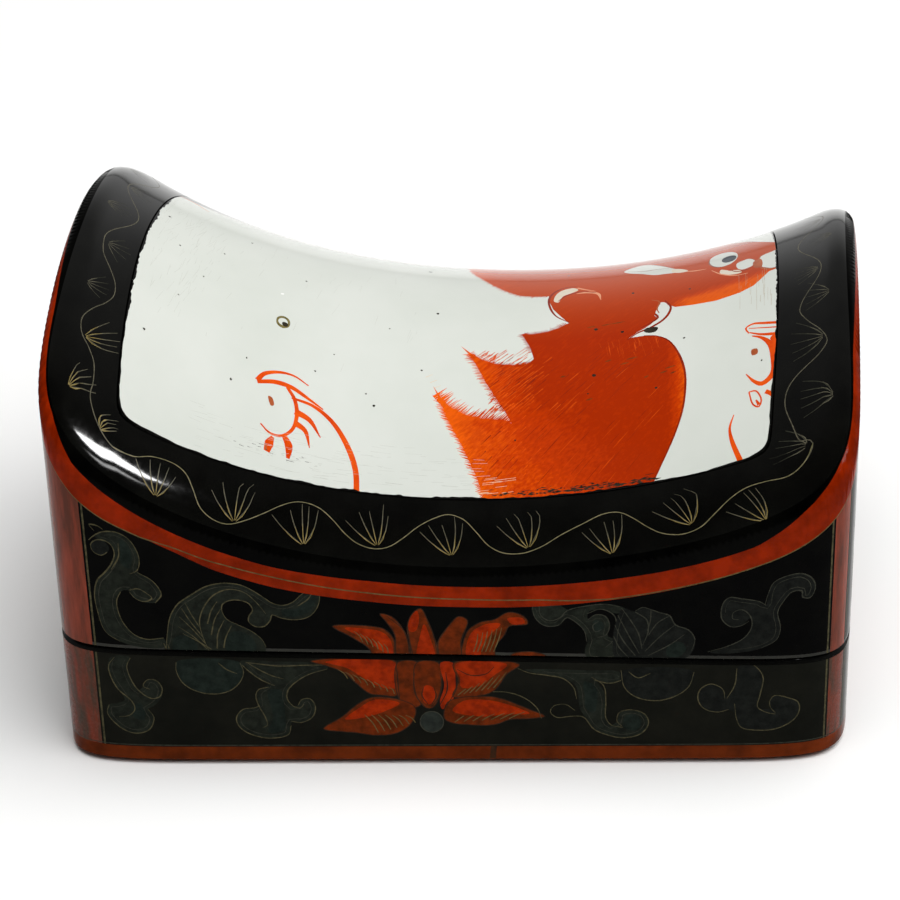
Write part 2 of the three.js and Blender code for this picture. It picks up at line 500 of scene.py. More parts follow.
# Name, dark and light tone, roughness, refraction, scale of the mottling and its stretch
LACQUERS = [
    ("black_lacquer", (4, 4, 3), (9, 9, 7), 0.07, 1.42, 120),
    # A darker, less shiny copy of the black lacquer for the walls and the lower shoulder: painted shade
    ("shaded_wall_lacquer", (1, 1, 1), (5, 5, 4), 0.1, 1.08, 120),
    ("base_lacquer", (11, 12, 7), (20, 20, 14), 0.12, 1.1, 120),
    # Grey for the lid's lowest edge: a painted reflection of the floor, not a grey lacquer
    ("painted_edge_reflection", (34, 34, 30), (46, 46, 41), 0.2, 1.2, 120),
    ("plain_lacquer", (10, 8, 7), (24, 19, 15), 0.28, 1.4, 120),
    ("red_lacquer", (108, 24, 0), (146, 36, 3), 0.14, 1.1, 160),
    ("foot_red", (78, 29, 4), (108, 42, 9), 0.2, 1.1, 160),
    # Paler, pinkish red for the lid's corner strips: their red lacquer with a painted sheen
    ("strip_red_with_sheen", (84, 38, 22), (142, 58, 36), 0.2, 1.2, 420, (1, 1, 0.12)),
    # Greyer, darker red for the base's corner strips
    ("grey_base_strip", (58, 46, 34), (116, 44, 24), 0.25, 1.2, 520, (1, 1, 0.16)),
    ("gold_paint", (98, 94, 62), (136, 126, 92), 0.3, 1.2, 900),
    ("gold_bright", (118, 102, 52), (150, 132, 80), 0.3, 1.2, 900),
    ("gold_dim", (70, 68, 56), (96, 92, 76), 0.3, 1.2, 900),
    ("wall_gold", (52, 50, 34), (84, 78, 54), 0.3, 1.12, 900),
    ("wall_gold_dim", (38, 39, 32), (58, 58, 48), 0.3, 1.12, 900),
    ("petal_red", (118, 28, 0), (164, 44, 3), 0.16, 1.1, 420),
    ("petal_brown", (70, 27, 3), (110, 40, 7), 0.16, 1.1, 420),
    ("petal_line", (34, 20, 8), (60, 34, 14), 0.2, 1.15, 420),
    ("olive_paint", (74, 62, 30), (104, 88, 52), 0.3, 1.15, 600),
    ("scroll_green", (18, 21, 16), (32, 36, 29), 0.25, 1.1, 500),
    ("scroll_teal", (16, 23, 19), (28, 36, 31), 0.25, 1.1, 500),
    ("scroll_black", (12, 14, 12), (24, 26, 23), 0.25, 1.1, 500),
    ("pod_grey", (24, 29, 26), (40, 46, 40), 0.2, 1.15, 500),
]
for row in LACQUERS:
    lacquer_like(*row)


def finish_glaze(n, tone, rough_low, rough_high, ior):
    """The shine and the slight waves that all glazes share"""
    n.set(Base_Color=tone, Roughness=n.span(n.noise(700, 2), 0.3, 0.75, rough_low, rough_high), IOR=ior)
    n.set(Normal=n.bump(n.noise(45, 2, 0.5), 0.00005, 0.3))


def glaze(name, dark, light, scale, rough=0.06):
    """Painted or bare glaze, mottled between two tones"""
    n = Nodes(name)
    tone = n.blend(n.span(n.noise(scale, 4, 0.6), 0.35, 0.65), colour(*dark), colour(*light))
    finish_glaze(n, tone, rough * 0.8, rough * 1.4, 1.35)

HAIR_TURN = 0.8


def brushed(name, deep, middle, pale, head_and_sheen, fades):
    """Iron-red enamel, paler along each fade: origin, direction, length and the X that it starts from.
    Towards the back it blends part way into a paler, duller tone, partly a painted reflection
    """
    n = Nodes(name)
    hair = n.noise(2000, 3, 0.6, place=n.mapping(n.place, turned=HAIR_TURN), stretch=(1, 0.1, 1))
    cloud = n.noise(90, 3, 0.5)
    split = n.node("SeparateXYZ", Vector=n.place)
    fade = None
    for (x, y), (dx, dy), length, from_x in fades:
        along = n.math("MULTIPLY_ADD", split.outputs["X"], dx / length / MM, -(x * dx + y * dy) / length)
        along = n.math("MULTIPLY_ADD", split.outputs["Y"], dy / length / MM, along)
        along = n.math("ADD", along, n.span(cloud, 0.3, 0.7, -0.16, 0.16), clamp=True)
        if from_x is not None:
            along = n.math("MULTIPLY", along, n.span(split.outputs["X"], from_x * MM, (from_x + 5) * MM))
        fade = along if fade is None else n.math("MAXIMUM", fade, along)
    fade = n.math("ADD", fade, n.span(hair, 0.35, 0.65, -0.16, 0.2), clamp=True)
    tone = n.blend(n.span(fade, 0.05, 0.5), colour(*deep), colour(*middle))
    tone = n.blend(n.span(fade, 0.5, 1.0), tone, colour(*pale))
    # Paler, duller red towards the back: the head's own muted red, and partly a painted reflection
    tone = n.blend(n.span(split.outputs["Y"], -8 * MM, 16 * MM, 0.0, 0.62), tone, colour(*head_and_sheen))
    finish_glaze(n, tone, 0.06, 0.11, 1.24)


BODY_FADES = [
    ((11.5, 0), (-1, 0), 14, None), ((28, -34), (-0.7, -0.7), 26, None), ((50, 4.6), (0.12, -1), 3.6, 42),
]
brushed("iron_red", (158, 39, 0), (184, 52, 0), (222, 88, 3), (190, 80, 24), BODY_FADES)
# Name, dark and light tone, scale of the mottling and roughness
GLAZES = [
    ("iron_red_deep", (122, 28, 2), (144, 38, 6), 300),
    ("flame", (204, 60, 2), (226, 84, 12), 240),
    ("pale_wash", (216, 128, 86), (222, 156, 118), 240),
    ("ear_cream", (212, 196, 170), (214, 206, 190), 240),
    ("hair_pale", (226, 186, 140), (218, 206, 180), 240),
    ("iron_red_light", (190, 62, 2), (208, 76, 8), 300),
    ("brow_line", (120, 70, 56), (150, 100, 84), 300),
    ("dirt_brown", (96, 44, 10), (132, 60, 14), 500),
    ("scratch_brown", (150, 128, 96), (186, 170, 146), 500),
    ("eye_blue", (38, 44, 52), (62, 70, 80), 300),
    ("grey_mark", (110, 112, 110), (140, 142, 138), 300),
    ("rust_mark", (150, 70, 36), (176, 92, 52), 400),
    ("dark_mark", (26, 24, 18), (52, 46, 34), 500, 0.2),
    ("faint_mark", (172, 174, 164), (196, 198, 190), 400, 0.2),
    ("white_mark", (235, 236, 233), (240, 241, 238), 100),
    ("pit_olive", (84, 78, 38), (128, 116, 70), 500, 0.2),
    ("porcelain", (204, 208, 200), (211, 214, 207), 26),
]
for row in GLAZES:
    glaze(*row)


# Lid
def ends_q(y, side):
    """Place round the plan of a point of an end, side 1 at the right and -1 at the left"""
    half = (ring_x * side > 60) & (np.abs(ring_y) < 54.4)
    order = np.argsort(ring_y[half])
    return np.interp(y, ring_y[half][order], ring_q[half][order])


def on_end(points, side):
    points = np.asarray(points, float)
    return np.stack([ends_q(points[:, 0], side), points[:, 1]], -1)


def on_right(points):
    return on_end(points, 1)


def on_left(points):
    return on_end(points, -1)


# Gold wave and fans on the border: the front, then the right end, the back and the left end
wave_front = on_front([
    (-76, 11), (-72, 12), (-69.5, 14), (-65.5, 14.9), (-62, 14), (-59, 11.5), (-56, 8.4), (-53, 7.1),
    (-50, 7.1), (-47, 8.8), (-43.5, 11.6), (-41, 13.8), (-38.5, 15.3), (-36, 15.7), (-32.5, 15), (-29, 13),
    (-26, 10.7), (-23, 9), (-19.5, 8.3), (-16.5, 8.9), (-13.5, 11), (-10.5, 13.6), (-7, 15.6), (-3.5, 16.5),
    (-0.5, 15.5), (2.5, 12.7), (5, 10), (8, 8.4), (12, 8.1), (16, 9.1), (21, 11.4), (26, 13.2), (31, 14.7),
    (34.5, 14.5), (37, 12.8), (39.5, 10.4), (42, 8.6), (46, 7.5), (50, 8), (53.5, 9.8), (58, 12), (62, 13),
    (66, 12.6), (70.5, 11.2), (74, 11.4), (77, 12.6),
])
wave_right = on_right([
    (-51, 15.5), (-47.5, 19.6), (-44, 21.3), (-40.5, 20.8), (-37.5, 18.8), (-35, 16), (-32.5, 12.9),
    (-29.5, 10.9), (-26, 12), (-22, 14.6), (-18, 16.3),
])
wave_left = on_left([
    (-8, 11), (-13, 11.9), (-17, 14.4), (-21, 16.6), (-25, 17.2), (-28, 16), (-31, 13.6), (-34.5, 11.9),
    (-38, 12.6), (-41, 15), (-44, 16.6), (-47.5, 16.4), (-50, 14.8),
])
turn_length = wave_left[0, 0] + 2 * HALF_ROUND - wave_right[-1, 0]
half_waves = 2 * round(turn_length / 31 - 0.5) + 1
turn_q = np.arange(1, 8 * half_waves) / (8 * half_waves)
wave_rest = np.stack([
    wave_right[-1, 0] + turn_q * turn_length,
    13.6 + 2.7 * np.cos(turn_q * half_waves * math.pi),
], -1)
wave_round = np.concatenate([
    wave_front, wave_right, wave_rest, wave_left + [2 * HALF_ROUND, 0], wave_front[:2] + [2 * HALF_ROUND, 0],
])

BRIGHT_FAN = ("gold_dim", "gold_bright")
# Darker gold for the front's last fan on the right, the fans of the right end and round the back, and the
# middle ones of the left end
DARKER_FAN = ("wall_gold_dim", "gold_dim")
FANS = [
    (on_front, BRIGHT_FAN, [
        (-79.6, 11.6), (-82.5, 17.5), (-81.2, 18), (-79.8, 16.2), (-78.3, 15.2), (-77.6, 14.2)]),
    (on_front, BRIGHT_FAN, [
        (-64.6, 6.6), (-71.5, 11.8), (-69.3, 13.2), (-67.3, 13.6), (-65.4, 13.6), (-63.2, 12.4)]),
    (on_front, BRIGHT_FAN, [
        (-48.6, 7.6), (-55.6, 12.8), (-54.4, 15.2), (-51.2, 16.8), (-49.4, 17.4), (-47.2, 15.2)]),
    (on_front, BRIGHT_FAN, [
        (-33.8, 6.5), (-42, 11.6), (-38.6, 13.4), (-36.6, 15.2), (-35, 15), (-32.8, 14.6)]),
    (on_front, BRIGHT_FAN, [
        (-18.6, 8.6), (-26.4, 13.4), (-24, 15.6), (-21.8, 16), (-19, 17.8), (-17.4, 15.4)]),
    (on_front, BRIGHT_FAN, [(-2.7, 7.5), (-10, 12.6), (-8.2, 14), (-5.2, 14.2), (-2.4, 16), (-0.6, 14.6)]),
    (on_front, BRIGHT_FAN, [(13.7, 8.7), (7, 14), (9.2, 15.6), (11.6, 16.6), (15, 17), (17.2, 17.2)]),
    (on_front, BRIGHT_FAN, [(31, 5.8), (25.4, 11.4), (27.2, 12), (30.6, 13), (32.6, 13), (34.8, 14)]),
    (on_front, BRIGHT_FAN, [
        (48.6, 8.6), (41.4, 13.4), (44.4, 14.8), (46.6, 15.6), (48.8, 17), (52.6, 18.6)]),
    (on_front, BRIGHT_FAN, [(62.9, 4.8), (56, 9.6), (58.4, 10.6), (61, 12.2), (62.2, 12.4), (63.6, 12.2)]),
    (on_front, DARKER_FAN, [(76.2, 13.2), (70, 15.4), (72.8, 18.8), (76.6, 20.8), (77.8, 21), (79, 20.4)]),
    (on_right, DARKER_FAN, [(-42, 9.8), (-47, 17), (-45, 17.8), (-43, 18), (-41.2, 17.8), (-38.8, 17.2)]),
    (on_right, DARKER_FAN, [
        (-28, 11.2), (-33, 18.8), (-30.6, 18.8), (-27.8, 19), (-24.6, 18.6), (-21.4, 17.4)]),
    (on_right, DARKER_FAN, [(-14, 9), (-18.2, 15), (-16, 14.8), (-13.4, 15.2), (-10.6, 15), (-8, 14.2)]),
    (on_left, BRIGHT_FAN, [
        (-48.4, 10), (-44.8, 13.4), (-45.6, 15.2), (-46.8, 16), (-48, 17), (-49.4, 16.4)]),
    (on_left, BRIGHT_FAN, [(-38.8, 13.2), (-33, 18), (-35, 20.4), (-37, 21.4), (-38.6, 21), (-40, 21.6)]),
    (on_left, DARKER_FAN, [
        (-24.6, 10.4), (-20.6, 14.2), (-22.2, 15.4), (-24, 15.8), (-25.8, 15.6), (-27.4, 14.4)]),
    (on_left, DARKER_FAN, [(-9, 12), (-4.8, 15.6), (-7, 17), (-9, 17.8), (-11.6, 17.2), (-14, 15.6)]),
]
lid_sheet = Sheet(wrap=HALF_ROUND)


def fan(points, main, foot):
    """Curved strokes from the first point to the others, with a second gold at their foot"""
    apex = points[0]
    for number, tip in enumerate(points[1:]):
        lean = (number - 2) * 0.045 * np.linalg.norm(tip - apex)
        middle = (apex + tip) / 2 + [lean, 0.25]
        start = apex + (tip - apex) * 0.08
        lid_sheet.stroke([start, middle, tip], [0.12, 0.22, 0.1], main, step=1.6)
        foot_middle = (apex + middle) / 2 + [lean * 0.4, 0]
        lid_sheet.stroke([start, foot_middle, middle], [0.1, 0.16, 0.05], foot, step=2)


sway = np.random.default_rng(5)
for place, golds, points in FANS:
    fan(place(points), *golds)
for number in range(1, half_waves):
    q = wave_right[-1, 0] + turn_length * number / half_waves
    apex_v, reach = (8.2, 6.2) if number % 2 == 0 else (11.2, 6.6)
    tips = []
    for angle in (-42, -24, -6, 12, 30):
        bend = math.radians(angle + sway.uniform(-4, 4))
        length = reach * sway.uniform(0.86, 1.05)
        tips.append((q + math.sin(bend) * length, apex_v + math.cos(bend) * length))
    fan(np.array([(q, apex_v)] + tips), *DARKER_FAN)
lid_sheet.stroke(wave_round, WAVE_WIDTH, "gold_dim")
lid_sheet.stroke(wave_front, WAVE_SHINE_WIDTH, "gold_paint")

around = np.linspace(-HALF_ROUND, HALF_ROUND, 361)
lid_outline = np.concatenate([
    np.stack([around, lid_low(around)], -1),
    np.stack([around[::-1], lid_high(around[::-1])], -1),
])


def sheet_grid(low, high, step_q, steps_v):
    """Points inside a sheet, in rows at the given heights"""
    rows = []
    inside = np.arange(-HALF_ROUND, HALF_ROUND + 1e-6, 2 * HALF_ROUND / round(2 * HALF_ROUND / step_q))
    for v in steps_v:
        q = inside[(low(inside) < v - 0.4) & (high(inside) > v + 0.4)]
        rows.append(np.stack([q, np.full(len(q), v)], -1))
    return np.concatenate(rows)


lid_rows = np.r_[np.arange(-60, -1, 4.0), np.arange(0, 30, 1.2)]
lid_grid = sheet_grid(lid_low, lid_high, 1.5, lid_rows)


def band(sheet, low, high, material, step=1.5):
    """A band round the whole sheet between two curves, as one area"""
    q = np.linspace(-HALF_ROUND, HALF_ROUND, round(2 * HALF_ROUND / step) + 1)
    under, over = np.stack([q, low(q)], -1), np.stack([q, high(q)], -1)
    sheet.shapes.append((np.concatenate([under, over[::-1]]), material))


# Areas and lines drawn on a wall
def outlined(sheet, place, points, fill, line=None, step=0.9):
    """A closed area, with a thin line round it if one is named"""
    edge = place(smooth(points, closed=True, step=step))
    sheet.area(edge, fill)
    if line:
        sheet.stroke(np.concatenate([edge, edge[:1]]), 0.22, line, curved=False)


def oval(x, y, half_width, half_height, count=16):
    turns = np.linspace(0, 2 * math.pi, count + 1)[:-1]
    return np.stack([x + np.cos(turns) * half_width, y + np.sin(turns) * half_height], -1)


def drawn(sheet, place, points, widths, material="wall_gold", step=1.0):
    sheet.stroke(place(smooth(points, step=step)), widths, material, curved=False)


# Lotus on the front: outlines with their paint, and the strokes over them
LID_PETALS = [
    ("petal_brown", [
        (-15.2, 28.6), (-15.4, 33.6), (-17.2, 36.1), (-20.4, 36.9), (-24.7, 37.2), (-28, 36.9), (-24, 33.9),
        (-20.8, 31.2), (-19.4, 28.6)]),
    ("petal_red", [
        (-15.8, 29), (-16, 33.2), (-17.8, 35.4), (-21, 36.2), (-25.4, 36.4), (-21.6, 33.6), (-18.8, 31)]),
    ("petal_brown", [
        (-12.2, 28.4), (-12.4, 32.9), (-13.3, 36.1), (-15.4, 39.3), (-17.9, 40.2), (-16.4, 37.6),
        (-15, 34.4), (-14.6, 28.5)]),
    ("petal_brown", [
        (-6.2, 28.4), (-6.9, 34.3), (-7.9, 37.9), (-9.4, 41.5), (-11, 40.4), (-12.3, 37), (-12, 32.9),
        (-11.2, 28.4)]),
    ("petal_red", [(-12, 35.6), (-11.8, 38.6), (-10.2, 41), (-9.8, 38.6), (-10.8, 35.4)]),
    ("petal_red", [(-10.4, 28.6), (-9.8, 34), (-8.8, 37.4), (-7.6, 33.6), (-7, 28.6)]),
    ("petal_brown", [
        (-1.2, 28.4), (-1.2, 32.5), (-0.2, 36), (0.3, 38.4), (-1.5, 39.4), (-4, 36.4), (-6, 32.5),
        (-5.6, 28.4)]),
    ("petal_brown", [
        (-0.8, 28.4), (-0.6, 33), (0.6, 36), (3.1, 37.9), (6, 38.6), (8.9, 40.5), (12, 39.4), (12.8, 37.4),
        (9, 36.8), (8, 34.6), (6, 31.4), (5.6, 28.4)]),
    ("petal_red", [
        (0, 28.8), (0.2, 33), (1.6, 35.8), (5, 37.6), (7.2, 37.4), (5, 34.6), (3.2, 31.4), (2.6, 28.8)]),
    ("petal_red", [(8.6, 38.8), (11.8, 38.9), (12.2, 37.6), (9.6, 37.3)]),
    ("petal_brown", [(8.6, 28.2), (9.6, 29.4), (12.4, 30), (15.6, 29.5), (17.4, 28.1)]),
]
BASE_PETALS = [
    ("petal_brown", [
        (-15, 27.4), (-15, 18.6), (-18.4, 18.6), (-20.8, 19), (-23.3, 21.4), (-26.1, 24.6), (-29.7, 26.4),
        (-33, 27.6)]),
    ("petal_red", [(-15.4, 27.3), (-15.4, 20.4), (-19.4, 21.2), (-22.4, 23.4), (-25.4, 25.8), (-30, 27.4)]),
    ("petal_brown", [
        (-14.6, 27.3), (-14.6, 17.4), (-12, 15.2), (-10.2, 16), (-11.2, 20), (-11.2, 24.3), (-10.4, 27.2)]),
    ("petal_brown", [
        (-10.6, 27.2), (-11.4, 22), (-10.8, 17.9), (-9, 15.2), (-7.6, 15.2), (-6.2, 17.9), (-5.5, 21.6),
        (-6.2, 27.2)]),
    ("petal_red", [(-9.8, 19.6), (-9.2, 16.4), (-7.8, 16.2), (-7, 18.4), (-7.4, 20.6), (-8.8, 21.2)]),
    ("petal_red", [
        (-5.6, 27.2), (-5, 21), (-6, 17), (-5.6, 14.8), (-4, 15.8), (-2.8, 19), (-2.6, 23), (-3, 27.1)]),
    ("petal_brown", [(-2.8, 27.1), (-2, 22), (-3.2, 18.2), (3.1, 18.5), (5.8, 20), (8.2, 24), (11, 26.6)]),
    ("petal_red", [(-2.4, 26.8), (-1.6, 23), (-1.4, 20.6), (2.6, 21), (5.2, 23.4), (8.4, 26.6)]),
    ("petal_brown", [
        (-11.2, 14.6), (-11.9, 16), (-15.4, 17.6), (-20.4, 18), (-23.3, 16.4), (-26.9, 12.9), (-31.1, 9.6),
        (-27.6, 8.9), (-24, 8.5), (-19.7, 7.8), (-15.4, 8.5), (-12.4, 10.9)]),
    ("petal_red", [
        (-14.6, 16.4), (-17.6, 17.4), (-20.4, 17.2), (-23, 15.4), (-26.4, 12.2), (-22.4, 12.6), (-18, 14.2)]),
    ("petal_brown", [
        (-5.2, 12.4), (-4.4, 16.6), (-2, 17.8), (1.7, 18.2), (6, 17.9), (9.6, 16.4), (13.1, 14.6),
        (16.2, 12.8), (12.6, 12.2), (8.9, 12), (5.3, 10.6), (0.3, 10.6), (-4, 11.3)]),
    ("petal_red", [(-3.4, 14.4), (-1, 17), (4, 17.2), (8.4, 16), (13, 13.6), (8, 13.4), (3, 12.8)]),
]
LID_HATCHES = [
    ((-23.6, 35.6), (-17.4, 32.2), (-21.8, 32.6), (-16.6, 29.4), 6),
    ((2.4, 34.8), (7.4, 36.4), (1.4, 30), (5.6, 30), 6),
]
BASE_HATCHES = [
    ((-27.4, 25.4), (-16.8, 20.8), (-25.4, 23), (-15.6, 18.9), 8),
    ((-22.2, 13.4), (-13.4, 13.2), (-19.4, 8.5), (-11.4, 11.2), 7),
    ((8.2, 24.6), (-0.4, 20.2), (5.4, 20.4), (-2.2, 18.5), 7),
    ((12, 14), (-1, 13), (8.6, 12.2), (-3, 11.3), 7),
]
LID_LINES = [
    [(-15.2, 28.8), (-15.4, 33.6), (-17.2, 36.1)],
    [(-12.2, 28.6), (-12.4, 33), (-13.4, 36.2), (-16.6, 39.6)], [(-6.2, 28.6), (-6.9, 34.3), (-8.2, 38.6)],
    [(-1.1, 28.6), (-1.2, 32.8), (-0.2, 36.2)], [(-5.8, 28.6), (-6, 32.6), (-4.2, 36)],
    [(-11.3, 28.6), (-12, 33), (-12.2, 36.6)],
]
BASE_LINES = [
    [(-15, 27), (-14.8, 22), (-14.6, 17.6)], [(-11.2, 24.4), (-11.5, 21.4), (-10.9, 17.9), (-9.2, 15.4)],
    [(-5.8, 24.4), (-5.6, 21.4), (-6.3, 17.9), (-7.9, 15.4)], [(-4.6, 24.6), (-4.4, 20), (-6, 16)],
    [(-2.4, 24.8), (-2.4, 20.4), (-4.6, 15.8)], [(-2.2, 25.4), (0.6, 23.8), (4, 24.2), (5.6, 26)],
    [(-9.4, 20.6), (-9.8, 18.4), (-8.6, 16.2)], [(-7.2, 20.4), (-6.8, 18.2), (-7.8, 16.2)],
]


def hatched(sheet, place, hatches):
    for first, last, first_end, last_end, count in hatches:
        for share in np.linspace(0, 1, count):
            start = np.array(first) * (1 - share) + np.array(last) * share
            end = np.array(first_end) * (1 - share) + np.array(last_end) * share
            middle = (start + end) / 2 + [0.25, 0.25]
            drawn(sheet, place, [start, middle, end], [0.12, 0.26, 0.2], "olive_paint", step=1.4)


def lotus(sheet, place, petals, hatches, lines):
    for material, points in petals:
        outlined(sheet, place, points, material, "petal_line" if material == "petal_brown" else None)
    hatched(sheet, place, hatches)
    for line in lines:
        drawn(sheet, place, line, [0.14, 0.3, 0.14], "petal_line")


# Scrolls and leaves: areas with their paint, then the gold lines
SCROLL_LID_LEFT = (
    [
        ("scroll_green", [
            (-74.4, 61), (-71.6, 61), (-69.3, 59.5), (-67.9, 57), (-67.3, 54.1), (-67.9, 51.2),
            (-65.1, 48.8), (-63.7, 46.6), (-63.4, 45), (-64.8, 43), (-67, 43.2), (-69.4, 44.4),
            (-70.4, 46.2), (-71.9, 45.7), (-72.9, 43.4), (-72.7, 39.9), (-71.7, 37), (-69.8, 34.5),
            (-67.3, 33.4), (-63.7, 33.8), (-63.7, 31.4), (-68, 31.2), (-72, 32.2), (-75.9, 34.9),
            (-77.3, 40.6), (-77.5, 44.9), (-76.6, 48.4), (-74.8, 50.6), (-73.2, 53), (-72.4, 55.6),
            (-73, 58), (-75.4, 58.8), (-76.4, 60)]),
        ("scroll_black", [
            (-77.3, 57.6), (-76.6, 55.4), (-74.8, 55), (-73.4, 56.6), (-74.2, 58.4), (-76.2, 58.8)]),
        ("scroll_teal", [
            (-71, 59.6), (-69.4, 57.8), (-68.8, 54.6), (-69.6, 51.8), (-71.2, 53), (-71, 56.4)])],
    [
        [
            (-73, 32.6), (-75.9, 34.9), (-77.3, 40.6), (-77.5, 44.9), (-76.6, 48.4), (-74.8, 50.6),
            (-73.2, 53), (-72.4, 55.6), (-73, 57.8), (-74.4, 58.8), (-76.2, 58.7), (-77.3, 57.4),
            (-76.8, 55.6), (-75.2, 54.9), (-73.9, 55.8)],
        [
            (-77.6, 58.6), (-76.2, 60), (-74.4, 61), (-71.6, 61), (-69.3, 59.5), (-67.9, 57), (-67.3, 54.1),
            (-68, 51.3), (-69.6, 50.4)],
        [(-67.9, 50.8), (-65.1, 48.8), (-63.7, 46.6), (-63.4, 45), (-64.8, 43)],
        [(-70, 46.2), (-68.2, 46.6), (-66.6, 45.6), (-65.4, 44.2), (-67, 43.3), (-68.8, 44), (-70, 45.6)],
        [
            (-71.9, 45.7), (-72.9, 43.4), (-72.7, 39.9), (-71.7, 37), (-69.8, 34.5), (-67.3, 33.4),
            (-63.7, 33.8)],
        [(-76.2, 61), (-77.2, 62.6), (-75.4, 62.4), (-74.4, 61.6)],
        [(-71.4, 58.2), (-71.6, 54.8), (-73.4, 51.4)]],
)
LEAF_LID_LEFT = (
    [
        ("scroll_green", [
            (-63.6, 30), (-63, 34.1), (-61.9, 39.5), (-60.1, 42.7), (-57.3, 45), (-53.7, 47.4),
            (-50.1, 48.2), (-46.6, 47.7), (-43.7, 45.9), (-41.6, 44.1), (-40.1, 42.9), (-38, 42.4),
            (-35.9, 43.3), (-34.4, 44.9), (-33, 45.9), (-30.5, 45.8), (-30.3, 44.1), (-31.2, 41.3),
            (-33, 39.3), (-35.9, 38.6), (-38.7, 39.1), (-40.5, 39.9), (-40.9, 38.6), (-42.3, 36.9),
            (-44.1, 36.8), (-45.5, 38.1), (-45.3, 39.7), (-44.5, 41), (-45.1, 42.8), (-47.3, 43.8),
            (-49.4, 43.6), (-50.7, 42.7), (-51, 41.3), (-50.1, 38.8), (-48, 37.4), (-45.1, 35.6),
            (-43, 33.4), (-42.3, 31.4), (-42.9, 29.4)]),
        ("scroll_teal", [(-61.8, 30.4), (-61.4, 34), (-59.4, 34.6), (-57, 32.6), (-57, 30.4)]),
        ("scroll_teal", [(-50.4, 30.2), (-50.4, 34.6), (-47.4, 35.6), (-44.8, 33.4), (-44.4, 30.6)]),
        ("scroll_teal", [
            (-38.4, 41.4), (-35.2, 41.6), (-32.6, 44.6), (-31, 44.6), (-32.4, 41), (-35.4, 39.4),
            (-38.2, 39.8)])],
    [
        [
            (-63.4, 31), (-63, 34.1), (-61.9, 39.5), (-60.1, 42.7), (-57.3, 45), (-53.7, 47.4),
            (-50.1, 48.2), (-46.6, 47.7), (-43.7, 45.9), (-41.6, 44.1), (-40.1, 42.9), (-38, 42.4),
            (-35.9, 43.3), (-34.4, 44.9), (-33.2, 46)],
        [
            (-30.4, 46), (-30.3, 44.1), (-31.2, 41.3), (-33, 39.3), (-35.9, 38.6), (-38.7, 39.1),
            (-40.5, 39.9), (-40.9, 38.6), (-42.3, 36.9), (-44.1, 36.8), (-45.5, 38.1), (-45.3, 39.7),
            (-44.5, 41), (-45.1, 42.8), (-47.3, 43.8), (-49.4, 43.6), (-50.7, 42.7), (-51, 41.3),
            (-50.1, 38.8), (-48, 37.4), (-45.1, 35.6), (-43, 33.4), (-42.3, 31.4)],
        [
            (-54.4, 30.4), (-55.6, 35), (-55.8, 38.6), (-54.2, 42.8), (-52, 45.4), (-49, 46.6), (-46, 45.8),
            (-43.6, 43.2), (-41.8, 40.2)],
        [(-35, 42.2), (-32.8, 44), (-31.8, 45.6)]],
)
LEAF_LEFT_VEINS = [
    [(-54.8, 31), (-57.6, 34.4), (-60.4, 36.8)], [(-55, 32.4), (-57.8, 36.6), (-60, 39.4)],
    [(-55.4, 34), (-58, 38.6), (-59.4, 41.6)], [(-56, 36.8), (-57.6, 40.4), (-58.6, 43.2)],
    [(-52.6, 31), (-52.2, 35), (-50.6, 38.6)], [(-51.2, 31.2), (-50.6, 34), (-49.2, 37)],
    [(-53.6, 34.6), (-52.6, 38.8), (-51.2, 41.4)], [(-54.2, 37.6), (-53.2, 41), (-51.8, 43.4)],
    [(-53.8, 30.8), (-56.6, 33), (-59.6, 35)], [(-63.4, 31), (-63.8, 32.4)], [(-62.8, 31), (-63, 32.2)],
]
STEM_LID_RIGHT = (
    [
        ("scroll_green", [
            (13.8, 42), (14.4, 39), (16.4, 36.9), (19.2, 37), (21, 39), (22.4, 38.2), (24.6, 35.6),
            (25.4, 33), (24.8, 30.6), (25.4, 28.2), (31.4, 28.2), (31, 33.2), (29.6, 34), (29.9, 37.1),
            (28.9, 39.4), (26.7, 39.6), (25.4, 38.6), (25.6, 40.6), (28.9, 41), (31.4, 40), (33.4, 41),
            (31, 42.3), (28.9, 42.5), (25.3, 42.1), (22.4, 41.1), (21, 41.2), (19, 42.6)]),
        ("scroll_teal", [(27, 38.4), (26.2, 36.6), (27, 35), (28.4, 35.6), (28.6, 37.6)])],
    [
        [
            (13.8, 42), (14.4, 39), (16.4, 36.9), (19.2, 37), (21, 39), (22.4, 38.2), (24.6, 35.6),
            (25.2, 32.6)],
        [
            (15.2, 42.4), (15.6, 39.6), (17.4, 38.2), (19.6, 39), (21, 40.8), (25.3, 42.1), (28.9, 42.5),
            (32, 41.8)],
        [(25.4, 38.4), (26.9, 39.7), (28.9, 39.4), (29.9, 37.1), (29.2, 34.4), (27.4, 33.7)],
        [(25.2, 40), (28, 41.2), (30.8, 39.6), (31.4, 36.4), (30.8, 33), (29, 31)],
        [(27.6, 38), (26.4, 36.8), (27, 35.2), (28.2, 35.8)]],
)
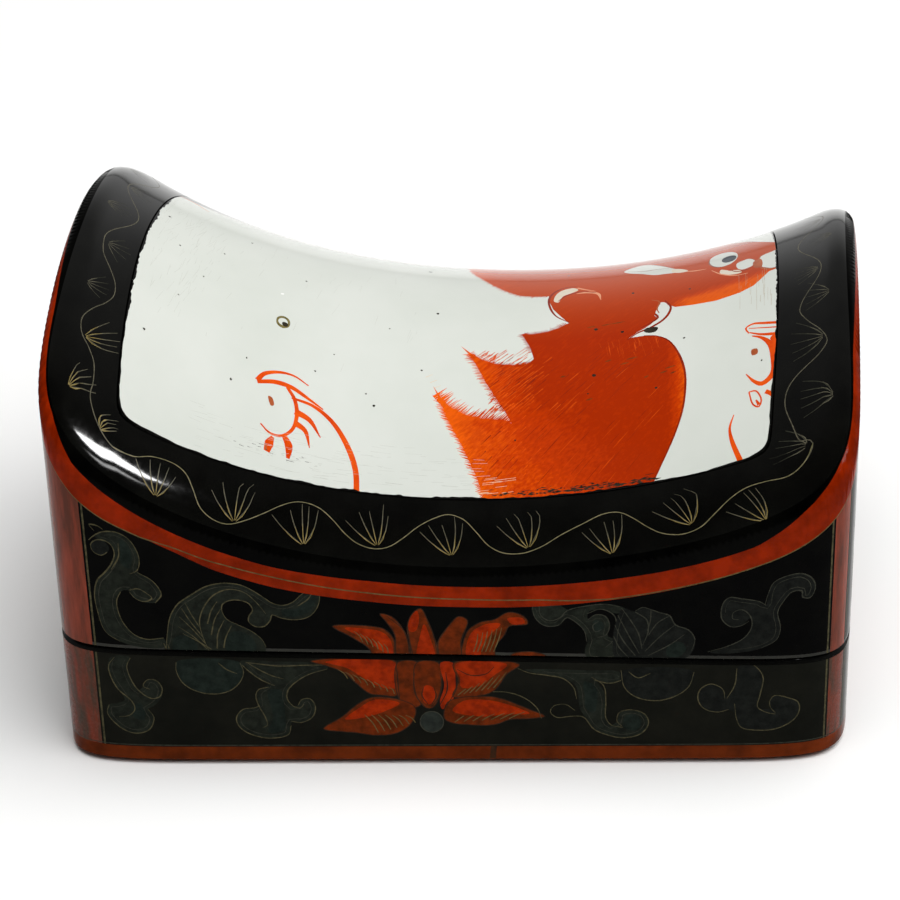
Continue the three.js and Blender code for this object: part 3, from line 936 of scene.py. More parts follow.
LEAF_LID_RIGHT = (
    [
        ("scroll_black", [
            (31.4, 28.2), (30.6, 33), (31.4, 38.4), (32.6, 41.4), (35, 40.6), (36.7, 41.6), (38.5, 41),
            (40.3, 40.2), (42.4, 39.4), (43.6, 37), (46.4, 35.6), (47.8, 33.2), (47.4, 30), (45.6, 28)]),
        ("scroll_teal", [(42.4, 31.8), (45, 32.4), (46, 30.4), (44.6, 28.6), (42, 28.8)])],
    [
        [(32.4, 41.4), (34.4, 38), (36, 34.6), (36.8, 30.6)],
        [
            (35.2, 40.6), (36.7, 41.6), (38.5, 41), (40.3, 40.2), (42.4, 39.4), (43.6, 37), (46.4, 35.6),
            (47.8, 33.2), (47.2, 30.2)],
        [(35.2, 40.4), (37.6, 38.4), (38, 35.4), (36.9, 31.6)], [(38.5, 41), (38.4, 38), (37.8, 35.4)],
        [(42.2, 39.2), (40, 37.6), (38, 34.2)], [(31.6, 39.6), (33.6, 35), (36.2, 29.4)],
        [(31, 37), (32.8, 32.8), (35.4, 28.8)], [(43.4, 36.8), (40.4, 33.8), (37.4, 30)],
        [(45.6, 34.4), (42.4, 31.6), (38, 28.8)], [(30.8, 34), (32, 31), (33.8, 28.6)]],
)
SCROLL_LID_RIGHT = (
    [
        ("scroll_black", [
            (53.1, 39.9), (53.5, 42.6), (54.6, 44), (57.4, 43.6), (61, 42.8), (62.4, 41.8), (62.8, 44.9),
            (63.9, 47.7), (66.7, 49.2), (69.6, 49.5), (71.7, 48.1), (72.6, 45.6), (71.6, 43), (69.8, 43.2),
            (69.6, 45), (67.8, 45), (66, 42.6), (64.9, 39.9), (65.6, 35.8), (64.9, 32.7), (61.7, 30.5),
            (54.6, 29.3), (51, 29.6), (54.6, 31), (58.1, 33.4), (59.6, 36.3), (59.2, 38.6), (57.6, 36.6),
            (55.3, 36.2)])],
    [
        [
            (50.6, 29.8), (54.6, 31.2), (58.1, 33.4), (59.6, 36.3), (59.2, 39.1), (57.4, 40.8), (55.6, 40),
            (55.6, 38.4), (56.8, 38.2)],
        [
            (59, 37.8), (57.4, 36.6), (55.2, 36.4), (53.4, 38.2), (53.1, 40.4), (53.6, 42.8), (54.8, 44),
            (57.4, 43.6), (61, 42.8), (62.4, 41.8)],
        [
            (62.2, 42), (62.8, 44.9), (63.9, 47.7), (66.7, 49.2), (69.6, 49.5), (71.7, 48.1), (72.6, 45.6),
            (71.6, 43), (70, 43.4), (69.8, 45), (67.8, 45), (66, 42.6), (64.9, 39.9), (65.6, 35.8),
            (64.9, 32.7), (61.7, 30.6)]],
)
SCROLL_BASE_LEFT = (
    [
        ("scroll_green", [
            (-75.1, 28.6), (-76.2, 26.3), (-75.9, 23.4), (-74.4, 19.9), (-73.2, 17.2), (-74.8, 16.2),
            (-76.9, 15.6), (-77.3, 13.4), (-75.9, 10.9), (-73.4, 8.8), (-70.9, 8.3), (-68.4, 9.5),
            (-67.3, 12.7), (-68.5, 14.9), (-67.3, 15.6), (-65.5, 17.7), (-65, 20.6), (-66.2, 22.6),
            (-68, 22.7), (-69, 20.9), (-70.1, 19.9), (-71.6, 23.1), (-72.1, 26.3), (-71.2, 28.6)]),
        ("scroll_teal", [(-71.6, 15.4), (-70, 16.4), (-69, 14.4), (-69.4, 12), (-71.4, 12.4)])],
    [
        [
            (-74.6, 28.4), (-76, 26.2), (-75.8, 23.4), (-74.4, 19.9), (-71.8, 17), (-71.2, 14.8),
            (-72.6, 13), (-74.8, 12.6)],
        [
            (-76.7, 15.6), (-77.3, 13.4), (-75.9, 10.9), (-73.4, 8.8), (-70.9, 8.3), (-68.4, 9.5),
            (-67.3, 12.7), (-68.4, 14.8)],
        [
            (-71.2, 28.4), (-72.1, 26.3), (-71.6, 23.1), (-70.1, 19.9), (-67.6, 17.8), (-65.7, 18.2),
            (-65, 20.6), (-66.2, 22.6), (-68, 22.7), (-69, 21), (-67.6, 20.2)]],
)
DISC_BASE_LEFT = (
    [
        ("scroll_teal", [
            (-61.4, 27.6), (-61.6, 25.4), (-60.5, 22), (-58, 19.9), (-54.4, 19), (-50.9, 19.7), (-48.4, 22),
            (-47.5, 24.9), (-48, 27.4)])],
    [
        [
            (-61.5, 27.4), (-61.7, 25.4), (-60.5, 22), (-58, 19.9), (-54.4, 19), (-50.9, 19.7), (-48.4, 22),
            (-47.4, 24.9), (-48, 27.2)],
        [(-52.6, 27.2), (-50.8, 25.4), (-48.8, 24.4)]],
)
SCROLL_BASE_FORK = (
    [
        ("scroll_green", [
            (-48, 27.6), (-46.6, 25.6), (-45.1, 23.6), (-42.3, 21.6), (-43.6, 20.6), (-44.9, 19),
            (-44.7, 16.2), (-45.6, 15.3), (-48, 14.9), (-49.6, 12.7), (-49.1, 10.2), (-46.6, 8.1),
            (-42.3, 7.1), (-38.7, 8.1), (-37.8, 11.4), (-35.9, 11.3), (-33.4, 12.7), (-32.6, 15.6),
            (-33.7, 17.7), (-35.5, 17.4), (-36.4, 15.8), (-37.6, 15.7), (-38.6, 17.8), (-38.2, 20),
            (-36.6, 22), (-33.7, 24.1), (-29.4, 25.9), (-33, 27.2), (-40, 27.6)]),
        ("scroll_teal", [(-42.4, 20), (-39.8, 20), (-39.2, 14), (-39.6, 9.4), (-43, 8.6), (-41.8, 12.6)])],
    [
        [(-48, 27.2), (-46.4, 25.2), (-43.6, 22.6), (-41, 21.2)],
        [(-46.4, 27.2), (-44, 25.4), (-41.4, 23.8), (-39, 23)],
        [
            (-29.6, 25.6), (-33.7, 24.1), (-36.6, 22), (-38.2, 20), (-38.5, 17.7), (-37.3, 15.7),
            (-35.8, 15.2), (-35, 16.2)],
        [
            (-36.2, 16), (-35.5, 17.4), (-33.7, 17.7), (-32.6, 15.6), (-33.4, 12.7), (-35.9, 11.3),
            (-38, 11.7)],
        [
            (-42.3, 20.8), (-44.4, 20.2), (-45.1, 18.8), (-44.8, 16.3), (-43.4, 12.7), (-43.1, 10.6),
            (-44, 10)],
        [
            (-44.4, 15.8), (-45.6, 15.3), (-48, 14.9), (-49.6, 12.7), (-49.1, 10.2), (-46.6, 8.1),
            (-42.3, 7.1), (-38.7, 8.1), (-38, 10.6)],
        [(-46.8, 27.4), (-40, 26.4), (-34, 26.6), (-30, 26.6)]],
)
STEM_BASE_RIGHT = (
    [
        ("scroll_green", [
            (12, 25.2), (16, 23.9), (20.3, 22.9), (22.8, 21), (23.4, 18), (23.6, 15.2), (24.6, 12.9),
            (26.7, 9.3), (30.3, 7.5), (33.1, 7), (36.7, 8.1), (38.3, 10.9), (37.4, 13.4), (34.6, 14.5),
            (32.1, 13.6), (31.6, 11.4), (30.3, 10.4), (29.2, 12), (29.3, 16.3), (28.7, 19.6), (27.4, 22.2),
            (30, 21.6), (33, 22.6), (32, 24.6), (26, 25)]),
        ("scroll_teal", [(24.6, 22), (27, 21), (27.4, 17), (26.6, 13.6), (25, 15), (24.8, 18.4)]),
        ("scroll_teal", [(33.4, 12.8), (33.2, 9.6), (35.6, 9), (36.8, 11), (35.6, 13.2)])],
    [
        [(10.6, 25.6), (13, 24.4), (16.4, 23.8), (20.3, 22.8), (22.4, 20.4), (23, 17.4)],
        [
            (22.6, 14.4), (20.6, 16), (18.2, 15.6), (17.4, 14), (18.8, 12.5), (21.6, 12.8), (24.4, 12.6),
            (26.7, 9.3), (30.3, 7.5), (33.1, 7), (36.7, 8.1), (38.3, 10.9), (37.4, 13.4), (34.6, 14.5),
            (32.1, 13.8), (31.6, 11.4), (32.6, 10.2)],
        [(26.2, 23.2), (28.7, 21), (29.2, 17), (29.2, 12.4), (30.4, 10.4), (32.8, 9.8)],
        [(26.8, 22.4), (30, 21.6), (32.8, 22.6), (33.8, 24)]],
)
DISC_BASE_RIGHT = (
    [
        ("scroll_black", [
            (32.4, 24.6), (33.1, 20.6), (35.3, 18.1), (39.6, 16.9), (43.9, 18.1), (46.7, 20.6),
            (47.8, 24.6)])],
    [
        [(32.4, 25), (33.1, 20.6), (35.3, 18.1), (39.6, 16.9), (43.9, 18.1), (46.7, 20.6), (47.8, 24.4)],
        [(34, 24.6), (36, 23), (38.6, 24.2)]],
)
SCROLL_BASE_RIGHT = (
    [
        ("scroll_black", [
            (57.4, 26), (56.6, 22), (56.2, 20), (54.8, 18), (54, 20), (51.4, 21.4), (49.2, 19.9),
            (48.7, 17.4), (49.9, 14.9), (52.8, 13.8), (55.3, 14.5), (56.6, 13.4), (58.1, 9.5), (61.7, 8.8),
            (65.3, 9), (68.9, 10.9), (70.3, 13.4), (69.9, 15.9), (68.1, 17), (64.9, 17.9), (63.9, 16.3),
            (64.3, 14.5), (61.4, 14.9), (61.9, 18), (62.4, 22.7), (61, 25.6)])],
    [
        [
            (54.4, 17.4), (53.9, 19.9), (51.4, 21.3), (49.2, 19.9), (48.7, 17.4), (49.9, 14.9),
            (52.8, 13.8), (55.3, 14.5)],
        [(56.8, 25.4), (56.4, 20.8), (54.8, 17.4)],
        [
            (56.5, 16), (57, 12), (58.1, 9.6), (61.7, 8.8), (65.3, 9), (68.9, 10.9), (70.3, 13.4),
            (69.9, 15.9), (68.1, 17), (64.9, 17.9), (63.9, 16.3), (64.3, 14.5), (65.2, 13.4)],
        [(59.4, 27), (61.4, 25), (62.4, 22.7), (61.8, 18), (61.4, 15), (63.6, 13.4), (65.2, 13)]],
)
BASE_SCROLLS = (
    SCROLL_BASE_LEFT, SCROLL_BASE_FORK, DISC_BASE_LEFT, STEM_BASE_RIGHT, DISC_BASE_RIGHT, SCROLL_BASE_RIGHT,
)
PETAL_TENDRIL = [(5.3, 19.4), (8.1, 19.3), (11.7, 17.9), (14.6, 15), (15.5, 12.3)]


def inner_lines(sheet, place, points, inset=0.9):
    """A thinner line that follows a scroll inside its edge"""
    edge = smooth(points, closed=True, step=1.4)
    ahead = np.roll(edge, -1, 0) - np.roll(edge, 1, 0)
    ahead /= np.maximum(np.linalg.norm(ahead, axis=1), 1e-6)[:, None]
    turn = np.sum(edge[:, 0] * np.roll(edge[:, 1], -1) - np.roll(edge[:, 0], -1) * edge[:, 1])
    side = np.stack([-ahead[:, 1], ahead[:, 0]], -1) * np.sign(turn)
    inside = edge + side * inset
    gap = np.linalg.norm(inside[:, None] - edge[None], axis=2).min(1)
    run = []
    for point, room in zip(inside, gap):
        if room > inset * 0.92:
            run.append(point)
        else:
            if len(run) > 4:
                sheet.stroke(place(np.array(run)), [0.06, 0.14, 0.06], "wall_gold_dim", curved=False)
            run = []


def scroll(sheet, place, motif, gold="wall_gold"):
    """The areas of a motif with the gold lines over them"""
    fills, lines = motif
    for material, points in fills:
        outlined(sheet, place, points, material)
    inner_lines(sheet, place, fills[0][1])
    for line in lines:
        drawn(sheet, place, line, [0.12, 0.24, 0.24, 0.12], gold, step=0.8)


def moved(motif, dx):
    """The motif moved along the wall"""
    fills, lines = motif
    shift = np.array([dx, 0])
    return [(m, np.array(p) + shift) for m, p in fills], [np.array(line) + shift for line in lines]


def lid_lotus(place):
    lotus(lid_sheet, place, LID_PETALS, LID_HATCHES, LID_LINES)


def lid_motifs(place):
    scroll(lid_sheet, place, SCROLL_LID_LEFT)
    scroll(lid_sheet, place, LEAF_LID_LEFT)
    for vein in LEAF_LEFT_VEINS:
        drawn(lid_sheet, place, vein, [0.26, 0.24, 0.1], "wall_gold", step=1.4)
    for motif in (STEM_LID_RIGHT, LEAF_LID_RIGHT, SCROLL_LID_RIGHT):
        scroll(lid_sheet, place, motif, "wall_gold_dim")
    lid_lotus(place)


def wall_place(centre, on_lid, mirrored=False):
    """Puts a motif of the front on another wall, at the same height over the joint"""

    def place(points):
        points = np.asarray(points, float)
        q = centre + points[:, 0] * (-1 if mirrored else 1)
        x = np.interp(q, np.r_[ring_q, ring_q + 2 * HALF_ROUND], np.r_[ring_x, ring_x])
        z = points[:, 1] - joint_z(points[:, 0]) + joint_z(x)
        end = np.interp(q, np.r_[TABLE_Q, TABLE_Q + 2 * HALF_ROUND], np.r_[TRACK[0, :, 2], TRACK[0, :, 2]])
        return np.stack([q, z - end if on_lid else z], -1)

    return place


RIGHT_END = float(ends_q(0, 1))
LEFT_END = float(ends_q(0, -1))
BACK = HALF_ROUND

# Wall below the band and the lower shoulder, in a darker and less shiny copy of the black lacquer: painted
# shade
BLACK_TOP = 5.4
for a, b in zip(around, around[1:]):
    low_a, low_b = lid_low(a) - 1, lid_low(b) - 1
    lid_sheet.shapes.append((np.array([(a, low_a), (b, low_b), (b, BLACK_TOP),
                                       (a, BLACK_TOP)]), "shaded_wall_lacquer"))
# The lid wall's lowest strip, just above the joint, is painted grey: a painted reflection of the floor in its
# edge
band(lid_sheet, lambda q: lid_low(q) - 1, lambda q: lid_low(q) + 0.75, "painted_edge_reflection")
lid_motifs(on_lid_front)
lid_motifs(wall_place(BACK, True))
for centre in (RIGHT_END, LEFT_END):
    lid_lotus(wall_place(centre, True))
    scroll(lid_sheet, wall_place(centre - 36, True), moved(SCROLL_LID_LEFT, 70))
    scroll(lid_sheet, wall_place(centre + 34, True, mirrored=True), moved(SCROLL_LID_LEFT, 70))

# Red band under the shoulder, the corner strips and their gold lines
FRONT_BAND = [
    (-80, -5.6, 2.4), (-75, -5.1, 1.9), (-70, -4.2, 1.6), (-65, -3.6, 1.3), (-60, -3.6, 1.1),
    (-52, -4.5, 0.8), (-40, -4.6, 0.6), (-20, -4.1, 1.2), (0, -4.1, 1.1), (20, -4.6, 0.8), (40, -4.8, 0.4),
    (52, -4.9, 0.3), (60, -4.9, 0.4), (66, -5, 1.8), (70, -5, 3), (75, -5, 4.2),
]
END_BAND = [
    (-50, -5, 4.9), (-30, -5, 4.6), (-20, -4.9, 3.8), (-8, -4.8, 3), (5, -4.8, 2.5), (30, -4.8, 1.8),
]
band_table = [(front_q(x), low, high) for x, low, high in FRONT_BAND]
for side in (1, -1):
    band_table += [(float(ends_q(y, side)), low, high) for y, low, high in END_BAND]
band_table += [(-HALF_ROUND, -4.8, 1.2), (HALF_ROUND, -4.8, 1.2)]
band_table = np.array(sorted(tuple(map(float, row)) for row in band_table))


def band_low(q):
    return np.interp(q, band_table[:, 0], band_table[:, 1])


def band_high(q):
    return np.interp(q, band_table[:, 0], band_table[:, 2])


CORNERS = [
    (float(ends_q(-47.6, -1)), float(front_q(-79.1))),
    (float(front_q(76.4)), float(ends_q(-48, 1))),
    (float(ends_q(47.4, 1)), float(ends_q(54.2, 1)) + 7),
    (float(ends_q(54.2, -1)) - 7, float(ends_q(47.4, -1))),
]


def strip_between(sheet, start, end, low, high, material):
    q = np.linspace(start, end, max(2, int(abs(end - start) / 1.0) + 1))
    for a, b in zip(q, q[1:]):
        sheet.area([(a, low(a)), (b, low(b)), (b, high(b)), (a, high(a))], material)


def corner_strips(sheet, low, high, red, gold):
    for start, end in CORNERS:
        strip_between(sheet, start, end, low, high, red)
        for line in (start - 0.85, end + 0.45):
            strip_between(sheet, line, line + 0.4, low, high, gold)


# The lid's corner strips are painted a paler, pinkish red: their own red and a painted sheen
corner_strips(lid_sheet, lambda q: lid_low(q) - 1, lambda q: band_low(q) + 0.5, "strip_red_with_sheen", "wall_gold")
band(lid_sheet, band_low, band_high, "red_lacquer")
BAND_LINE = [
    (-80, -0.25), (-66, -0.2), (-60, 0.9), (-50, 2.1), (-40, 2.5), (-20, 2.1), (0, 1.9), (15, 1.6),
    (22, 0.8), (30, 0.1), (76, -0.1),
]
line_table = np.array([(front_q(x), rise) for x, rise in BAND_LINE])


def band_line(q):
    return band_low(q) + np.interp(q, line_table[:, 0], line_table[:, 1])


band(lid_sheet, band_line, lambda q: band_line(q) + 0.3, "olive_paint")

lid = Body("lid_painted")
loops = sheet_body(lid, lid_sheet, lid_surface, lid_outline, lid_grid, "black_lacquer", wrap=HALF_ROUND)
for loop, places in loops:
    angle = angle_at(places[:, 0])
    if places[:, 1].mean() < 0:
        x, y = plan_point(angle, 0, EDGE_BREAK)
        edge = x, y, joint_z(x) + JOINT_GAP / 2
        x, y = plan_point(angle, 0, WALL - LIP - LIP_CLEARANCE)
        under = x, y, joint_z(x) + JOINT_GAP / 2
        rebate = x, y, joint_z(x) + JOINT_GAP / 2 + LIP_HEIGHT + LIP_CLEARANCE
        x, y = plan_point(angle, 0, WALL)
        step_in = x, y, joint_z(x) + JOINT_GAP / 2 + LIP_HEIGHT + LIP_CLEARANCE
        ceiling = [(x * k, y * k, saddle_z(x * k, y * k) - TOP) for k in INWARD]
        rings = ring_rows(edge, under, rebate, step_in, *ceiling)
        strips(lid, loop, rings, (0, 0, saddle_z(0, 0) - TOP), "plain_lacquer", "black_lacquer")
    else:
        x, y = panel_point(angle, -PANEL_CLEARANCE)
        depth = PANEL_THICKNESS + PANEL_CLEARANCE
        pocket = [(x * k, y * k, saddle_z(x * k, y * k) - depth) for k in INWARD]
        strips(lid, loop, ring_rows(*pocket),
               (0, 0, saddle_z(0, 0) - depth), "plain_lacquer", "black_lacquer")
lid.finish("lid")

# Base
base_sheet = Sheet(wrap=HALF_ROUND)
base_outline = np.concatenate([
    np.stack([around, base_low(around)], -1),
    np.stack([around[::-1], base_high(around[::-1])], -1),
])
base_grid = sheet_grid(base_low, base_high, 2.5, np.arange(4, 30, 4.0))


def base_lotus(place):
    lotus(base_sheet, place, BASE_PETALS, BASE_HATCHES, BASE_LINES)
    outlined(base_sheet, place, oval(-7.9, 11.4, 2.5, 2.8), "pod_grey", "wall_gold_dim", step=0.8)


def base_motifs(place):
    for motif in BASE_SCROLLS:
        scroll(base_sheet, place, motif)
    base_lotus(place)
    drawn(base_sheet, place, PETAL_TENDRIL, [0.14, 0.26, 0.14])


base_motifs(on_front)
base_motifs(wall_place(BACK, False))
for centre in (RIGHT_END, LEFT_END):
    base_lotus(wall_place(centre, False))
    scroll(base_sheet, wall_place(centre - 33, False), moved(SCROLL_BASE_LEFT, 71))
    scroll(base_sheet, wall_place(centre + 31, False, mirrored=True), moved(SCROLL_BASE_LEFT, 71))
# The base's corner strips are a greyer, darker red than the lid's
corner_strips(base_sheet, lambda q: 4.0, lambda q: 34.0, "grey_base_strip", "wall_gold")


def level(height):
    """A curve round the sheet that stays at one height"""
    return lambda q: np.full(np.shape(q), height)


FOOT_BAND_TOP, FOOT_LINE_LOW, FOOT_LINE_HIGH = 4.8, 5.05, 5.3
band(base_sheet, level(FOOT_ROUND), level(FOOT_BAND_TOP), "foot_red")
band(base_sheet, level(FOOT_LINE_LOW), level(FOOT_LINE_HIGH), "wall_gold_dim")

# Crack across the foot band, right of the middle
base_sheet.area([(front_q(4.3), 1.5), (front_q(5.6), 1.5), (front_q(5.9), 4.9),
                 (front_q(4.6), 4.9)], "petal_line")

base = Body("base_painted")
loops = sheet_body(base, base_sheet, base_surface, base_outline, base_grid, "base_lacquer", wrap=HALF_ROUND)
for loop, places in loops:
    angle = angle_at(places[:, 0])
    if places[:, 1].mean() < 10:
        x, y = plan_point(angle, -JOINT_HEIGHT, FOOT_ROUND)
        foot = [(x * k, y * k, x * 0) for k in (1, 0.5)]
        strips(base, loop, ring_rows(*foot), (0, 0, 0), "plain_lacquer", "foot_red")
    else:
        x, y = plan_point(angle, 0, EDGE_BREAK)
        edge = x, y, joint_z(x) - JOINT_GAP / 2
        x, y = plan_point(angle, 0, WALL - LIP)
        land = x, y, joint_z(x) - JOINT_GAP / 2
        lip_out = x, y, joint_z(x) - JOINT_GAP / 2 + LIP_HEIGHT
        x, y = plan_point(angle, 0, WALL)
        lip_in = x, y, joint_z(x) - JOINT_GAP / 2 + LIP_HEIGHT
        wall_foot = x, y, x * 0 + FLOOR + FILLET
        x, y = plan_point(angle, 0, WALL + FILLET)
        floor = [(x * k, y * k, x * 0 + FLOOR) for k in (1, 0.5)]
        rings = ring_rows(edge, land, lip_out, lip_in, wall_foot, *floor)
        strips(base, loop, rings, (0, 0, FLOOR), "plain_lacquer", "black_lacquer")
base.finish("base")

# Porcelain panel
panel_sheet = Sheet()
BODY = [
    (4.5, -46), (2.5, -41), (0, -36), (-3.5, -29.5), (-5.8, -24), (-7, -21), (-5.2, -24), (-3.4, -26),
    (-0.6, -27.6), (3, -28.6), (6.5, -28.9), (9.6, -29.8), (8.2, -27), (6.4, -24), (4, -19.5), (2, -14.8),
    (0.4, -11.6), (-1.4, -9), (0.8, -11.2), (3, -13), (6, -14.4), (9.5, -14.9), (13, -14.6), (14.2, -13.2),
    (13.4, -9.5), (12.4, -7), (11.6, -5), (14, -5), (17, -4.4), (19.5, -3.2), (21.6, -1.6), (24, 3),
    (36, 3), (40, -1), (40.6, -4), (38.6, -6.4), (36, -8), (34.4, -9.4), (37.5, -9.4), (40, -10),
    (42.5, -12), (44.7, -16.5), (46.1, -22), (46.2, -26), (45.6, -31), (44.2, -35.5), (42, -40),
    (38.5, -46),
]
HEAD = [
    (21.6, -1.6), (20, 1), (18.2, 4.5), (17.4, 8), (17.2, 11.2), (14, 11.2), (11.2, 11.8), (8.2, 14.2),
    (5.2, 18), (3, 22), (1.2, 26), (-0.2, 31), (-1, 36), (-0.5, 42), (1, 48), (50, 48), (53, 42), (57, 35),
    (61, 28), (65, 21), (69, 15), (69, 4), (64.4, 3.6), (62.8, 1.6), (61, -0.4), (58, -1.6), (53, -2.2),
    (48, -1.6), (44.4, -1), (42.6, 0.6), (40.4, 0.4), (37, -2), (30, -3.2),
]
panel_sheet.area(BODY, "iron_red")
panel_sheet.area(HEAD, "iron_red")

# Hairs along the tufts: edge, direction in which they leave it, length
HAIR_EDGES = [
    ([(4, -45), (2.5, -41), (0, -36), (-3.5, -29.5), (-5.8, -24)], (-0.86, 0.2), 1.5),
    (
        [(-6, -23), (-5.2, -24), (-3.4, -26), (-0.6, -27.6), (3, -28.6), (6.5, -28.9), (9.4, -29.6)],
        (0.72, 0.7), 2.6),
    ([(8.2, -27), (6.4, -24), (4, -19.5), (2, -14.8), (0.4, -11.6)], (-0.9, -0.1), 1.3),
    ([(0.8, -11.2), (3, -13), (6, -14.4), (9.5, -14.9), (13, -14.6)], (0.66, 0.75), 1.1),
    ([(13.8, -11), (12.4, -7), (11.6, -5)], (-0.9, -0.1), 1.1),
    ([(12.4, -5), (17, -4.4), (21, -2)], (-0.5, 0.86), 1.0),
    (
        [(17, 11.3), (14, 11.2), (11.2, 11.8), (8.2, 14.2), (5.2, 18), (3, 22), (1.2, 26), (-0.2, 31)],
        (-0.5, -0.86), 0.9),
]
strand = np.random.default_rng(11)
for edge, direction, reach in HAIR_EDGES:
    for root in smooth(edge, step=0.32):
        bend = math.atan2(direction[1], direction[0]) + strand.normal(0, 0.1)
        way = np.array([math.cos(bend), math.sin(bend)])
        length = reach * strand.uniform(0.4, 1.2)
        width = strand.uniform(0.26, 0.46)
        panel_sheet.stroke(
            [root - way * 1.2, root + way * length * 0.5, root + way * length], [width, width * 0.7, 0.06],
            "iron_red", step=5,
        )
along_hair = np.array([0.72, 0.69])
for number in range(330):
    share = strand.random() ** 0.8
    y = -44.5 + 33 * share
    left = np.interp(y, [-45, -36, -29, -27, -20, -12], [3, 0.5, -2.5, 4, 4.5, 1.5])
    x = left + 0.6 + abs(strand.normal(0, 5.5))
    half = strand.uniform(0.8, 2.6)
    start, end = np.array([x, y]) - along_hair * half * 0.4, np.array([x, y]) + along_hair * half
    material = "iron_red_light" if number % 9 else "iron_red_deep"
    panel_sheet.stroke([start, end], [0.05, strand.uniform(0.12, 0.3)], material, step=9)
for number in range(90):
    x, y = strand.uniform(12, 42), strand.uniform(-43, -12)
    half = strand.uniform(1, 3)
    material = "iron_red_deep" if number % 4 else "iron_red_light"
    panel_sheet.stroke([(x - 0.72 * half, y - 0.69 * half), (x + 0.72 * half, y + 0.69 * half)],
                       [0.04, strand.uniform(0.08, 0.18), 0.04], material, step=3)
for number in range(16):
    x, y = strand.uniform(2.4, 9), strand.uniform(-44, -41)
    panel_sheet.stroke([(x, y), (x + 2.4, y + 0.2)], [0.06, 0.2, 0.06], "hair_pale", step=3)
for x, y in ((-6.8, -21.6), (-7.6, -20.2), (-8.6, -18.8)):
    panel_sheet.stroke([(x, y), (x + 1.4, y + 0.8)], [0.1, 0.3, 0.08], "hair_pale", step=3)
for number in range(34):
    x, y = strand.uniform(28, 41), -10.6 - abs(strand.normal(0, 2.2))
    half = strand.uniform(0.6, 1.6)
    panel_sheet.stroke([(x + 0.2, y - half), (x - 0.2, y + half)], [0.04, strand.uniform(0.12, 0.26), 0.04],
                       "iron_red_light", step=3)


# Ear, brow, eye and muzzle of the head
def paint(points, widths, material):
    panel_sheet.stroke(points, widths, material, step=0.7)


def patch(points, material, step=0.7):
    panel_sheet.blob(points, material, step=step)


patch([(18.4, 8.2), (18.8, 11.6), (20.2, 14), (22.6, 15), (23.6, 13.6), (22, 12), (20.4, 10.8),
       (19.2, 7.6)],
      "ear_cream")
paint([(23.4, 14.8), (25.6, 13.2), (27.4, 12.2)], [0.7, 0.5, 0.1], "pale_wash")
paint([(23.2, 11.6), (25.8, 11.8), (27.8, 10.6), (28.5, 7.2)], [0.3, 1.0, 0.7, 0.1], "pale_wash")
paint([(19.2, 8.2), (21.2, 11), (24.4, 12.4), (27.4, 11.2)], [0.2, 0.45, 0.2], "iron_red_deep")
paint([(23.2, 15.8), (21, 15.6), (18.8, 13.6), (17.4, 10.2), (17.4, 6.2), (18.8, 1.6),
       (21.6, -1.4)], [0.2, 0.5, 0.5, 0.2],
      "iron_red_deep")
patch([(40.2, 1.6), (39.4, -1.4), (40.4, -4.4), (38, -6.8), (40.6, -6), (42.6, -3.2), (42.8, 0.4),
       (41.8, 2)],
      "porcelain")
paint([(42.2, 2.6), (43.4, -0.8), (42.2, -4.4), (39.2, -6.9), (36.2, -8.2),
       (34, -10)], [0.3, 0.6, 0.6, 0.25],
      "iron_red_deep")
paint([(40, 1.8), (39.6, -1.2), (40.6, -3.8), (39, -5.4), (37, -6.6)], [0.3, 0.55, 0.25], "iron_red_deep")
patch([(33.6, 23.4), (36, 26.6), (38.2, 27.6), (41.5, 23.8), (44, 20), (46.4, 16.4), (44.2, 16.4),
       (42.6, 16.8),
       (40.4, 17.2), (37.6, 19.4), (34.4, 21.8)], "porcelain")
patch([(44.2, 19), (45.6, 18.4), (47.4, 15.8), (45.8, 15.6), (44, 17)], "ear_cream")
paint([(34.4, 22.9), (38.2, 21.4), (41, 21.2), (43.4, 20.4)], [0.1, 0.36, 0.1], "brow_line")
paint([(33.4, 23.6), (36, 26.9), (38.4, 27.6), (41.5, 24), (44.4, 20)], [0.1, 0.3, 0.1], "brow_line")
paint([(47.2, 15.6), (49, 14.8), (51.4, 14.4)], [0.4, 0.5, 0.1], "pale_wash")
eye = oval(55.1, 18.2, 3.1, 5)
patch(eye, "porcelain")
paint(eye[7:14], [0.1, 0.34, 0.34, 0.1], "brow_line")
patch(oval(56.3, 17.2, 1.6, 2.2), "eye_blue")
paint([(58, 21.4), (58.6, 19), (58.2, 16.4)], [0.1, 0.3, 0.1], "rust_mark")
patch([(54.4, 11.6), (56, 10.2), (58.4, 8.6), (58.6, 7.2), (56.4, 7.6), (54.2, 9.6)], "ear_cream")
paint([(52.4, 12.6), (54.4, 9.2), (57.4, 6.6), (60, 6)], [0.2, 0.4, 0.2], "pale_wash")
patch([(56.2, 12.4), (57.6, 11.6), (57.8, 10), (56.4, 9.6), (55.6, 11)], "iron_red")
patch([(58, 13), (60.2, 13.6), (61.6, 11.4), (61, 9), (58.8, 8.6), (57.8, 10.4)], "porcelain")
paint([(56.2, 10.6), (57.4, 8.6), (59.4, 7.8), (61.4, 8.4)], [0.1, 0.4, 0.1], "iron_red_deep")
patch([(63, 12.6), (66, 13.6), (71, 15), (71, 5.2), (68, 4.4), (65, 4.8), (63, 6.6)], "porcelain")
patch([(61.4, 11), (62.8, 11.4), (62.9, 7), (61.6, 7.4)], "rust_mark")
paint([(63, 6.6), (65, 4.6), (68, 4.2), (71, 5.6)], [0.3, 0.5, 0.4], "iron_red_deep")
paint([(68, 9.8), (68.8, 10.2)], [0.4, 0.2], "grey_mark")
